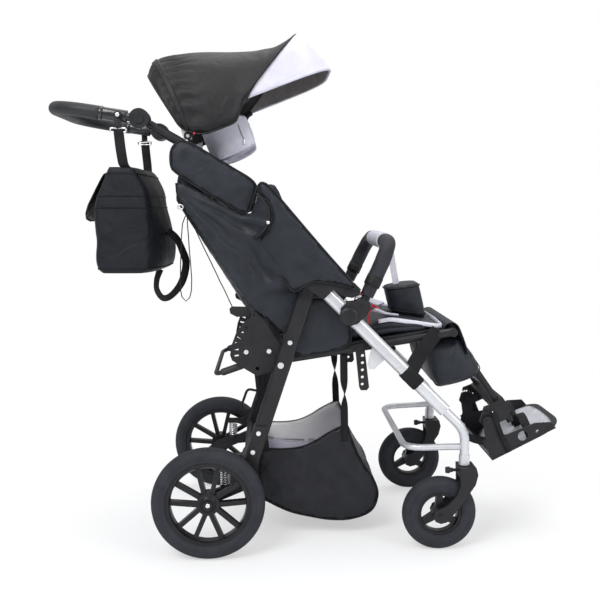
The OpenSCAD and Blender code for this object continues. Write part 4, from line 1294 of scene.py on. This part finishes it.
@dataclass
class Seat:
    """Cushion with a falling front, grey edge band, abductor block, side guards and hip belt."""

    shop: Shop
    low: float = 17.0
    thick: float = 44.0
    edge: float = 6.0
    guard: tuple[Pair, ...] = ((206, 500), (366, 525), (372, 570), (352, 625), (318, 652), (272, 664), (232, 640),
                               (206, 580))

    def top(self, x: float) -> float:
        """Height of the cushion's top over the seat rails at x along the seat."""
        high = mix(self.thick, self.edge, max(0.0, (x + 157) / 131))
        return self.low + high * blunt((x + 420) / 394, 5)

    def build(self) -> None:
        """All pieces of the seat."""
        self.build_cushion()
        self.build_abductor()
        self.build_guards()
        self.build_belt()

    def build_cushion(self) -> None:
        """Cushion, its layered sides and the light band along its edge."""
        shop = self.shop
        shape = superellipse(48, 4.4)
        rings = []
        for v in spread(*PAD_ENDS, 56):
            x, f = mix(-420, -26, v), rounded(v, 5)
            tall = (self.top(x) - self.low) / 2
            dent = 1 - 0.12 * dip(v, 0.36, 0.03) - 0.1 * dip(v, 0.62, 0.02)
            wave = 1.2 * noise.noise(Vector((v * 14, 2.0, 0.0)))
            rings.append([SEAT.at(x, p[0] * (152 + 20 * f) + wave * p[0], self.low + tall + tall * p[1] *
                                  (dent if p[1] > 0 else 1)) for p in shape])
        pad = shop.dress(loft("seat_cushion_pad", rings), SEAT_CLOTH, "chassis", "seat_cushion")
        for side, word in HANDS:
            for k, high in enumerate((0.3, 0.62)):
                path = [SEAT.at(x, side * 166, self.low + (self.top(x) - self.low) * high)
                        for x in spread(-226, -66, 24)]
                roll = tube(f"seat_side_roll_{word}_{k + 1}", path, 9.0, 14,
                            swell=lambda f: 0.25 + 0.75 * rounded(f, 4))
                shop.dress(roll, SEAT_CLOTH, "chassis")
        rim = [SEAT.at(x, -172, self.top(x) - 2) for x in spread(-190, -40, 16)]
        nose = [SEAT.at(-26 + 5 * math.sin(math.pi * i / 12), mix(-164, 164, i / 12), self.top(-30) - 1)
                for i in range(13)]
        rim = rim + nose + [Vector((p.x, -p.y, p.z)) for p in reversed(rim)]
        band = strap("seat_edge_band", rim, Vector((0.1, 0.0, 1.0)), 11.0, 3.0)
        shop.dress(band, VISOR_CLOTH, "chassis")

    def build_abductor(self) -> None:
        """Block between the knees with its seams."""
        shop = self.shop

        def point(v: float, p: Pair, grow: float) -> Vector:
            """Point of the block at height v."""
            f = rounded(mix(0.02, 0.98, v), 5)
            x = mix(-86, -94, v) + p[0] * (40 + 10 * f + grow)
            return SEAT.at(x, p[1] * (46 + 10 * f + grow), mix(self.top(x), 130 + grow, v))

        shape = superellipse(40, 3.6)
        block = loft("abductor_block", [[point(i / 20, p, -2.0) for p in shape] for i in range(21)])
        shop.dress(puff(block, 5.0, 3.0, 3.0), SEAT_CLOTH, "chassis", "abductor_pad")
        for name, v in (("abductor_seam_low", 0.12), ("abductor_seam_top", 0.9)):
            shop.dress(tube(name, [point(v, p, -0.2) for p in shape], 1.6, 8, closed=True), HOOD_CLOTH, "chassis")

    def build_guards(self) -> None:
        """Cloth side panels beside the seat, with piping."""
        shop = self.shop
        line = cut_corners(self.guard, 2)
        for side, word in HANDS:
            def place(u: float, v: float, w: float, side: int = side) -> Vector:
                """Point on the side panel."""
                return at(u, side * (192 + w), v)

            cloth_panel = panel(f"side_guard_{word}", line, place, (3.0, 2.8), 14.0)
            shop.dress(cloth_panel, SEAT_CLOTH, "chassis", *right_only(side, "side_guards"))
            rim = [place(p.x, p.y, 0.0) for p in evenly(line, 8.0, closed=True)]
            shop.dress(tube(f"side_guard_piping_{word}", rim, 2.2, 8, closed=True), HOOD_CLOTH, "chassis")

    def build_belt(self) -> None:
        """Hip belt pads and red pull webbing at the seat's sides."""
        shop = self.shop
        for side, word in HANDS:
            pad_line = [at(424, side * 168, 626), at(440, side * 160, 622), at(458, side * 150, 614),
                        at(476, side * 138, 608), at(492, side * 124, 604)]
            pad = strap(f"hip_pad_{word}", flow(pad_line, 4), Vector((0.0, 1.0, 0.25 * side)), 36.0, 8.0)
            shop.dress(refine(pad), GREY_CLOTH, "chassis")
            pull = [at(414, side * 184, 590), at(420, side * 178, 622), at(428, side * 171, 636),
                    at(438, side * 166, 632), at(446, side * 162, 626)]
            webbing = strap(f"hip_pull_{word}", flow(pull, 5), Vector((0.3, 1.0, 0.0)), 18.0)
            shop.dress(webbing, RED_WEBBING, "chassis")


# Bumper bar


@dataclass
class Bumper:
    """Padded bumper bar with socket sleeves, a grey sleeve and a hanging strap."""

    shop: Shop
    pivot: Pair = (392.0, 642.0)
    corner: Triple = (466.0, 226.0, 803.0)
    radius: float = 20.0
    socket: float = 18.5
    sleeve_half: float = 0.118
    drop: tuple[Pair, ...] = ((487, 812), (490, 798), (494, 782), (499, 758), (505, 722), (511, 690), (516, 664))

    def build(self) -> None:
        """Bar cover, cuffs, sleeves and strap."""
        shop = self.shop
        low, top = at(self.pivot[0], -234, self.pivot[1]), at(self.corner[0], -self.corner[1], self.corner[2])
        start = low + (top - low).normalized() * 58 * MM
        flip = Vector((1.0, -1.0, 1.0))
        path = bent([start, top, top * flip, start * flip], 72, 14)
        path = evenly(path, 9 * MM)

        def swell(f: float) -> float:
            """Soft ends and shallow waves of the cover."""
            return (0.93 + 0.07 * blunt(f, 30)) * (1 + 0.012 * math.sin(f * 70))

        bar = tube("bumper_cover", path, self.radius, 24, swell=swell)
        shop.dress(bar, BUMPER_FOAM, "bumper", "bumper_pad")
        for word, ends, turn in (("right", path[:4], Vector((1.0, 1.0, 1.0))), ("left", path[-4:], flip)):
            shop.dress(tube(f"bumper_cuff_{word}", ends, self.radius + 1.0, 24), HOOD_CLOTH, "bumper")
            socket = [(low + (top - low).normalized() * s * MM) * turn for s in (30, 31.5, 40, 50, 58, 61)]
            cuff = tube(f"bumper_socket_sleeve_{word}", socket, self.socket, 24, swell=lambda f: 0.9 + 0.1 * f)
            shop.dress(cuff, BUMPER_FOAM, "bumper")
        spine = [p for p in path if abs(p.y) < self.sleeve_half]
        sleeve = tube("bumper_sleeve", spine, self.radius + 2.4, 28,
                      swell=lambda f: (0.97 + 0.03 * blunt(f, 20)) * (1 + 0.008 * math.sin(f * 90)))
        shop.dress(sleeve, GREY_CLOTH, "bumper")
        seam = [p + Vector((0.0, 0.0, -(self.radius + 2.6) * MM)) for p in spine]
        shop.dress(stitches("bumper_sleeve_stitches", [seam]), THREAD, "bumper")
        drop = flow([at(x, -14, z) for x, z in self.drop], 5)
        shop.dress(strap("bumper_strap", drop, Vector((1.0, 0.3, 0.0)), 19.0), PALE_WEBBING, "bumper")


# Push handle and bag


@dataclass
class PushHandle:
    """Foam grip of the push handle with end rings, arm sleeves and hook heads."""

    shop: Shop
    reach: float = 232.0
    half: float = 201.0
    radius: float = 17.0
    ring: float = 17.2
    sleeve: Pair = (11.6, 15.6)

    def build(self) -> None:
        """Grip loop, rings, sleeves and hook heads."""
        shop = self.shop
        ends = ((-98, -self.half), (-self.reach, -self.half), (-self.reach, self.half), (-98, self.half))
        corners = [HANDLE.at(t, y, 0) for t, y in ends]
        path = evenly(bent(corners, 105, 16), 10 * MM)

        def swell(f: float) -> float:
            """Rolled ends of the foam."""
            return 0.86 + 0.14 * blunt(f, 40)

        grip = tube("handle_foam", path, self.radius, 28, swell=swell)
        shop.dress(grip, GRIP_FOAM, "handle", "handle_grip")
        section, (wide, tall) = superellipse(32, 2.3), self.sleeve
        for side, word in HANDS:
            ring = [HANDLE.at(t, side * self.half, 0) for t in (-101, -99.5, -97, -94, -91.5, -90)]
            sleeve = [[HANDLE.at(t, side * (self.half + wide * g * p[0]), tall * g * p[1]) for p in section]
                      for t, g in ((-93, 0.97), (-90, 1.0), (-70, 1.0), (-50, 1.0), (-34, 1.0), (-31, 0.98))]
            shop.dress(loft(f"handle_sleeve_{word}", sleeve, capped=False), GLOSS_PLASTIC, "handle")
            shop.dress(tube(f"handle_ring_{word}", ring, self.ring, 28, swell=lambda f: 0.8 + 0.2 * rounded(f, 4)),
                       GLOSS_PLASTIC, "handle")
            head = dome(f"handle_hook_head_{word}", HANDLE.at(-51, side * 224, 0), outward(side), 5.5, 3.0)
            shop.dress(head, BOLT_STEEL, "handle")


@dataclass
class Bag:
    """Soft bag hung from the handle: body, lid zip, pocket, flap, straps and hooks."""

    shop: Shop
    half: float = 206.0
    carry: tuple[Pair, ...] = ((98, -290), (122, -312), (138, -347), (146, -380), (134, -429), (106, -465),
                               (82, -473), (66, -451), (66, -423), (76, -394))

    def point(self, v: float, p: Pair, grow: float = 0.0) -> Vector:
        """Point of the body at height v and section place p, grown by some millimetres."""
        f = rounded(v, 7)
        z = mix(-397, -123, v)
        if p[0] > 0:
            depth = mix(77, 56, ease((v - 0.72) / 0.28)) + 40 * (1 - p[1] ** 2) * ease((0.8 - v) / 0.6)
        else:
            depth = mix(74, 38, ease((v - 0.6) / 0.4)) - 8 * v
        crumple = 2.2 * noise.noise(Vector((p[0] * 2.3, p[1] * 3.1, v * 5))) - 2.0
        crumple -= 2.0 * dip(v, 0.3, 0.08) * (0.5 + 0.5 * math.sin(p[1] * 19))
        return BAG.at(-2 - 8 * v + p[0] * (f * depth + crumple + grow),
                      p[1] * (self.half * (0.93 + 0.07 * f) + min(0.0, crumple) + grow), z)

    def build(self) -> None:
        """Body, trim, flap and hangers."""
        shop = self.shop
        shape = superellipse(96, 9)
        body = loft("bag_body", [[self.point(v, p) for p in shape] for v in spread(*PAD_ENDS, 48)])
        shop.dress(body, BAG_CLOTH, "bag", "bag")
        for name, v, r in (("bag_seam_base", 0.05, 1.6), ("bag_seam_mid", 0.615, 1.3), ("bag_seam_high", 0.725, 1.3),
                           ("bag_lid_zip", 0.93, 1.6)):
            shop.dress(tube(name, [self.point(v, p, 0.6) for p in shape], r, 8, closed=True), WEBBING, "bag")
        pocket = cut_corners(((-158, -350), (158, -350), (158, -200), (-158, -200)), 3)
        shop.dress(panel("bag_pocket", pocket, lambda u, v, w: BAG.at(-65 - w, u, v), (14.0, 3.0), 34.0),
                             BAG_CLOTH, "bag")
        flap = cut_corners(((-152, -264), (152, -264), (156, -152), (140, -137), (-140, -137), (-156, -152)), 2)

        def flap_place(u: float, v: float, w: float) -> Vector:
            """Point on the rear flap, standing off toward its foot."""
            return BAG.at(-48 + 0.52 * (v + 137) - w, u, v)

        shop.dress(panel("bag_flap", flap, flap_place, (4.5, 3.5), 12.0), BAG_CLOTH, "bag")
        edge = [flap_place(p.x, p.y, 0.0) for p in evenly(flap, 8.0, closed=True)]
        shop.dress(tube("bag_flap_binding", edge, 2.2, 8, closed=True), WEBBING, "bag")
        for side, word in HANDS:
            self.hanger(side, word)
        line = flow([BAG.at(x, -60, z) for x, z in self.carry], 6)
        turns = [(p - BAG.at(104, -60, -400)).normalized() * 0.8 + Vector((0.0, 0.6, 0.0)) for p in line]
        shop.dress(strap("bag_shoulder_strap", line, turns, 24.0), WEBBING, "bag")

    def hanger(self, side: int, word: str) -> None:
        """Hook, slide bar and webbing of one side.

        Args:
            side: -1 for the right side.
            word: side word for names.
        """
        shop = self.shop
        y = side * 216.5
        eye = circle(BAG.at(0, y, 0), 7.4, X_AXIS, Z_AXIS)
        shop.dress(tube(f"bag_hook_eye_{word}", eye, 3.0, 10, closed=True), BLACK_PLASTIC, "bag")
        stem = [BAG.at(0, y, z) for z in (-8, -14, -22, -30, -34)]
        shop.dress(refine(strap(f"bag_hook_stem_{word}", stem, X_AXIS, 17.0, 5.0)), BLACK_PLASTIC, "bag")
        box = [BAG.at(x, y, z) for x, z in ((-19, -32), (19, -32), (19, -42), (-19, -42))]
        bar = bent([box[0].lerp(box[1], 0.5), box[1], box[2], box[3], box[0], box[0].lerp(box[1], 0.45)], 3, 4)
        shop.dress(tube(f"bag_slide_bar_{word}", bar, 2.2, 10), BOLT_STEEL, "bag")
        line = [BAG.at(1, side * 218, -36), BAG.at(4, side * 217, -72), BAG.at(7, side * 214, -100),
                BAG.at(9, side * 207, -118), BAG.at(11, side * 194, -125), BAG.at(12, side * 176, -127)]
        webbing = strap(f"bag_hanger_{word}", flow(line, 5), X_AXIS, 25.0, 2.0)
        shop.dress(webbing, WEBBING, "bag", *right_only(side, "bag_straps"))


# Storage basket


@dataclass
class Basket:
    """Sling basket of black cloth with a light lining, bindings and straps, the front ones twisted."""

    shop: Shop
    half: float = 138.5
    profile: tuple[Pair, ...] = (
        (136, 248), (126, 180), (135, 112), (157, 94), (211, 68), (266, 54), (321, 44), (380, 45), (433, 66),
        (452, 110), (441, 153), (418, 187), (393, 233), (368, 300))
    rim: tuple[Pair, ...] = ((136, 247), (185, 243), (239, 248), (279, 264), (314, 286), (358, 307), (368, 300))
    join: tuple[Pair, ...] = ((410, 200), (340, 186), (268, 182), (200, 186), (128, 196))

    def hang(self, obj: Piece, finish: Finish, *nodes: str) -> Piece:
        """Dress a piece of the basket and give it its own copy of its mesh.

        Args:
            obj: the piece.
            finish: its finish.
            nodes: CAD nodes that it stands for.

        Returns:
            The same piece.
        """
        self.shop.dress(obj, finish, "chassis", *nodes)
        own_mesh(obj)
        return obj

    def skin(self) -> list[Vector]:
        """Points of the long cloth's line from the rear rim, under the basket, to the front rim."""
        return evenly(flow([Vector(p) for p in self.profile], 6), 12.0)

    def build(self) -> None:
        """Long cloth, side panels, bands, bindings and straps."""
        count = 32
        rows = []
        for p in self.skin():
            row = []
            for j in range(count + 1):
                y = mix(-self.half, self.half, j / count)
                sag = 4.0 * (1 - (y / self.half) ** 2) * ease((150 - p.y) / 120)
                fold = 2.2 * noise.noise(Vector((p.x * 0.03, p.y * 0.03, y * 0.016)))
                row.append(at(p.x + fold, y, p.y - sag + fold))
            rows.append(row)
        base = self.hang(cloth("basket_base_cloth", rows, 2.0), BASKET_CLOTH, "basket")
        length_of(self.skin()) * MM
        centre = at(290, 0, 190)
        lining = [[p + Vector((centre.x - p.x, 0.0, centre.z - p.z)).normalized() * 4.5 * MM for p in row[1:-1]]
                  for row in rows]
        self.hang(cloth("basket_base_lining", lining, 1.2), BASKET_BAND)
        for side, word in HANDS:
            self.side_panel(side, word)
            self.straps(side, word)
        for name, p in (("basket_rear_binding", self.profile[0]), ("basket_front_binding", self.profile[-1])):
            line = [at(p[0], y, p[1]) for y in spread(-self.half, self.half, 24)]
            self.hang(tube(name, line, 3.0, 10), WEBBING)

    def side_panel(self, side: int, word: str) -> None:
        """Side cloth, lining in two parts, the upper one a lighter copy of the lining colour that paints light
        falling on it, and bindings of one side.

        Args:
            side: -1 for the right side.
            word: side word for names.
        """

        def place(u: float, v: float, w: float) -> Vector:
            """Point on the side cloth, bellied out toward the foot."""
            belly = 4.0 * dip(v, 95, 60) * dip(u, 300, 110)
            return at(u, side * (self.half + belly + w), v)

        def crease(u: float, v: float) -> float:
            """Hanging creases of the cloth."""
            lean = math.sin((u + 0.45 * v) * 0.052 + 2.2 * noise.noise(Vector((u * 0.01, v * 0.01, side))))
            return 0.9 * lean * dip(v, 120, 75) + 0.6 * noise.noise(Vector((u * 0.03, v * 0.03, 5.0)))

        def inside(u: float, v: float, w: float) -> Vector:
            """Point on the lining, within the side cloth."""
            return place(u, v, w - 3.6)

        edge = evenly(flow([Vector(p) for p in self.profile], 5), 9.0)
        rim = flow([Vector(p) for p in self.rim], 6)
        outer = panel(f"basket_side_{word}", edge + list(reversed(rim[1:-1])), place, (2.6, 0.6), 26.0, 8.0, crease)
        self.hang(outer, BASKET_CLOTH)
        join = [Vector(p) for p in self.join]
        high = [p for p in edge if p.y > 200 and p.x > 300] + list(reversed(rim[1:-1])) + \
            [p for p in edge if p.y > 200 and p.x < 300]
        low = [p for p in edge if p.y <= 196]
        # The upper lining gets the lighter copy of the lining colour, painted light on its upper part.
        for name, line, finish in (("low", low + join, BASKET_BAND),
                                   ("high", high + list(reversed(join)), BASKET_LINING_PAINTED_LIGHT)):
            lining = panel(f"basket_lining_{name}_{word}", line, inside, (0.4, 1.4), 18.0, 8.0, crease)
            self.hang(lining, finish)
        for name, line, spot, finish in (("rim", rim, place, WEBBING), ("join", flow(join, 6), inside, BASKET_BAND),
                                         ("edge", edge, place, WEBBING)):
            path = [spot(p.x, p.y, 0.0) for p in line]
            self.hang(tube(f"basket_{name}_{word}", path, 2.2, 8), finish)

    def straps(self, side: int, word: str) -> None:
        """Twisted front strap and flat rear strap of one side."""
        shop = self.shop
        count = 30
        path = [at(mix(352, 360, i / count), side * mix(178, 142.4, min(1.0, 1.2 * i / count)),
                   mix(510, 264, i / count)) for i in range(count + 1)]
        turns = [math.pi * (0.5 + ease((i / count - 0.2) * 2)) for i in range(count + 1)]
        across = [Vector((math.sin(a), math.cos(a), 0.0)) for a in turns]
        front = strap(f"basket_strap_front_{word}", path, across, 20.0)
        shop.dress(front, WEBBING, "chassis", *right_only(side, "basket_straps"))
        rear = [at(mix(124, 148, i / 12), side * mix(187.4, 142.4, min(1.0, 1.06 * i / 12)), mix(481, 238, i / 12))
                for i in range(13)]
        shop.dress(strap(f"basket_strap_rear_{word}", rear, X_AXIS, 17.0), WEBBING,
                   Bend("chassis", "rear_frame", rear[0], rear[-1]))


# Leg rest and foot plate


@dataclass
class LegRest:
    """Calf roll and knee cover, tie straps with cuffs on the frame, foot mat and foot straps."""

    shop: Shop
    half: float = 166.0
    middle: Pair = (-48.0, -76.0)
    cuff: Pair = (17, 12)
    outline: tuple[Pair, ...] = (
        (-30, -14), (-9, -22), (11, -21), (15, -74), (17, -130), (13, -146), (-9, -150), (-39, -148), (-77, -131),
        (-117, -118), (-119, -94), (-104, -38), (-84, 8), (-62, 8))
    cover: tuple[Pair, ...] = ((2, -78), (11, -52), (18, -24), (22.5, 0), (17, 15), (4, 22.3), (-10, 20), (-22, 10),
                               (-34, 3), (-52, -2), (-72, -6))

    def ring(self, v: float, shape: Sequence[Vector], grow: float) -> list[Vector]:
        """Ring of the roll at place v across it."""
        f = rounded(v, 7) * (1 - 0.05 * dip(v, 0.5, 0.02))
        c = Vector(self.middle)
        out = []
        for p in shape:
            q = c + (p - c) * f + (p - c).normalized() * grow
            out.append(LEG.at(q.x, mix(-self.half, self.half, v), q.y))
        return out

    def build(self) -> None:
        """Roll, seams, knee cover and straps."""
        shop = self.shop
        shape = cut_corners(self.outline, 2)
        roll = loft("calf_roll", [self.ring(v, shape, -4.0) for v in spread(*PAD_ENDS, 32)])
        shop.dress(puff(roll, 6.0, 4.0, 5.0), SEAT_CLOTH, "legrest", "calf_pad")
        for name, v in (("calf_seam_right", 0.12), ("calf_seam_left", 0.88), ("calf_seam", 0.5)):
            shop.dress(tube(name, self.ring(v, shape, -3.4), 1.6, 8, closed=True), THREAD, "legrest")
        line = flow([Vector(p) for p in self.cover], 4)
        rows = [[LEG.at(p.x, mix(-160, 160, j / 24), p.y + 1.2 * math.sin(j * 1.9)) for j in range(25)] for p in line]
        shop.dress(cloth("knee_cover", rows, 2.4), SEAT_CLOTH, "legrest")
        for side, word in HANDS:
            self.tie(side, word)
        self.foot_straps()

    def tie(self, side: int, word: str) -> None:
        """Strap from the seat front to a cuff on the front tube.

        Args:
            side: -1 for the right side.
            word: side word for names.
        """
        shop = self.shop
        middle, along = at(522, side * 234, 458), Vector((1.0, 0.0, -1.0)).normalized()
        wide, deep = Vector((1.0, 0.0, 1.0)).normalized(), Y_AXIS
        shape = superellipse(32, 3.4)
        rings = []
        for s, grow in ((-27, 0.6), (-25, 2.6), (-12, 3.4), (0, 3.0), (12, 3.4), (25, 2.6), (27, 0.6)):
            w, d = self.cuff[0] + grow, self.cuff[1] + grow
            rings.append([middle + (along * s + wide * p[0] * w + deep * p[1] * d) * MM for p in shape])
        shop.dress(loft(f"tube_cuff_{word}", rings, capped=False), WEBBING, "chassis")
        line = [at(598, side * 188, 572), at(578, side * 193, 548), at(556, side * 204, 522),
                at(536, side * 218, 496), at(524, side * 230, 478)]
        tie = strap(f"calf_tie_{word}", flow(line, 6), Vector((0.75, -0.2 * side, -0.35)), 42.0, 2.4)
        shop.dress(tie, WEBBING, "chassis")

    def foot_straps(self) -> None:
        """Mat, heel strap, two toe straps and the side strips of the foot plate."""
        shop = self.shop
        sole = cut_corners(((9, -122), (176, -122), (206, -92), (206, 92), (176, 122), (9, 122)), 2)
        mat = panel("foot_mat", sole, lambda u, v, w: TRAY.at(u, v, 5.4 + w), (1.6, 0.2), 8.0, 14.0)
        shop.dress(mat, MAT_RUBBER, "footplate")
        heel = [TRAY.at(8 - 34 * math.sin(math.pi * i / 24), mix(-131, 131, i / 24), 56) for i in range(25)]
        shop.dress(strap("heel_strap", heel, Vector((-0.3, 0.0, 1.0)), 26.0), WEBBING, "footplate")
        for word, y0, y1 in (("right", -127, -8), ("left", 8, 127)):
            arc = [TRAY.at(124 + 10 * math.sin(math.pi * i / 20), mix(y0, y1, i / 20),
                           6 + 52 * math.sin(math.pi * i / 20) ** 0.6) for i in range(21)]
            shop.dress(strap(f"toe_strap_{word}", arc, Vector((1.0, 0.0, 0.3)), 24.0), WEBBING, "footplate")
        for side, word in HANDS:
            line = [FOOT.at(x, side * 137.5, z) for x, z in ((14, 26), (20, 8), (34, -30), (50, -64), (60, -84))]
            strip = strap(f"foot_strip_{word}", flow(line, 4), Vector((1.0, 0.0, 0.4)), 14.0, 3.6)
            shop.dress(strip, WEBBING, "footplate")


# Running gear


@dataclass
class RunningGear:
    """Tyre ridges, hub caps and suspension coils."""

    shop: Shop
    spring_x: float = 42.0
    arm_y: float = 236.0
    coil: float = 11.0
    wire: float = 2.1
    turns: int = 6
    ends: Pair = (179.1, 215.9)
    held: Pair = (182, 213)

    def build(self) -> None:
        """Coils, hub caps and the ridges of all wheels."""
        for side, word in HANDS:
            self.spring(side, word)
            cap = dome(f"rear_hub_cap_{word}", at(0, side * 295.8, 145), outward(side), 6.0, 2.0)
            self.shop.dress(cap, BOLT_STEEL, f"rear_wheel_{word}")
            self.ridges(f"rear_wheel_{word}", f"rear_tyre_{word}", 0.885)
            self.ridges(f"front_wheel_{word}", f"front_tyre_{word}", 0.85)

    def spring(self, side: int, word: str) -> None:
        """Smooth coil in place of one CAD spring."""
        count = 26 * self.turns
        path = []
        for i in range(count + 1):
            a = 2 * math.pi * self.turns * i / count
            path.append(at(self.spring_x + self.coil * math.cos(a), side * (self.arm_y - self.coil * math.sin(a)),
                           mix(*self.ends, i / count)))
        coil = tube(f"suspension_coil_{word}", path, self.wire, 10)
        ends = [at(self.spring_x, side * self.arm_y, z) for z in self.held]
        self.shop.dress(coil, SPRING_STEEL, Bend(f"swing_arm_{word}", "rear_frame", *ends), f"spring_{word}")

    def ridges(self, body: str, tyre: str, share: float) -> None:
        """Two moulded ridges on each face of a tyre.

        Args:
            body: wheel body.
            tyre: CAD node of the tyre.
            share: ridge radius as a share of the wheel's.
        """
        low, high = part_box(tyre)
        middle = (Vector(low) + Vector(high)) / 2
        r, half = (high[2] - low[2]) / 2, (high[1] - low[1]) / 2
        for k, (f, out) in enumerate(((share, 0.86), (share - 0.045, 0.985))):
            for face in SIDES:
                ring = circle(middle + Vector((0.0, face * half * out, 0.0)), f * r / MM, X_AXIS,
                              Z_AXIS, 96)
                name = f"{tyre}_ridge_{k + 1}_{'outer' if face * middle.y > 0 else 'inner'}"
                self.shop.dress(tube(name, ring, 1.1, 8, closed=True), RUBBER, body)


@dataclass
class SmallTrim:
    """Foam on the release bar and the lock on the back's cord."""

    shop: Shop

    def build(self) -> None:
        """Release grips and cord lock."""
        for side, word in HANDS:
            path = [at(mix(90, 30, i / 14), side * 177, mix(482.5, 461.8, i / 14)) for i in range(15)]
            grip = tube(f"release_foam_{word}", path, 9.5, 20, swell=lambda f: 0.68 + 0.32 * rounded(f, 6))
            self.shop.dress(grip, GRIP_FOAM, "release")
        ring = circle(at(-66, -196, 893), 6.0, X_AXIS, Z_AXIS)
        self.shop.dress(tube("cord_lock_ring", ring, 2.0, 10, closed=True), BOLT_STEEL, "backrest")


def pairs(*stems: str) -> list[str]:
    """Right and left node names of each stem."""
    return [f"{stem}_{word}" for stem in stems for _, word in HANDS]


def coat_frame(shop: Shop) -> None:
    """Give every rigid CAD node that shows its finish."""
    shop.coat(SILVER, *pairs("front_tube"), "front_cross_bar")
    shop.coat(BLACK_FRAME, *pairs("rear_leg", "swing_arm"), "rear_cross_tube", "seat_frame", "back_frame",
              "legrest_frame", "release_bar", "rear_brackets")
    shop.coat(GLOSS_PLASTIC, "handle_loop", *pairs("handle_button"))
    shop.coat(BLACK_PLASTIC, *pairs("caster_fork", "swivel_lock"), "hinge_castings", "seat_pan",
              "seat_side_plates", "bumper_clamps", "bumper_sockets", "brake_pedal", "footrest_clamp", "footplate",
              "headrest_bracket")
    shop.coat(RIM_PLASTIC, *pairs("rear_rim", "front_rim"))
    shop.coat(RUBBER, *pairs("rear_tyre", "front_tyre"), soften=0.0)
    shop.coat(BOLT_STEEL, "chassis_fasteners", "rear_bolts", "backrest_hardware", soften=0.5)


def main() -> None:
    """Build every sub-assembly in order."""
    logging.basicConfig(level=logging.INFO, format="%(message)s")
    Studio().build()
    shop = Shop()
    Cords(shop).build()
    Hood(shop).build()
    Headrest(shop).build()
    Backrest(shop).build()
    Seat(shop).build()
    Bumper(shop).build()
    PushHandle(shop).build()
    Bag(shop).build()
    Basket(shop).build()
    LegRest(shop).build()
    RunningGear(shop).build()
    SmallTrim(shop).build()
    coat_frame(shop)


if __name__ == "__main__":
    main()
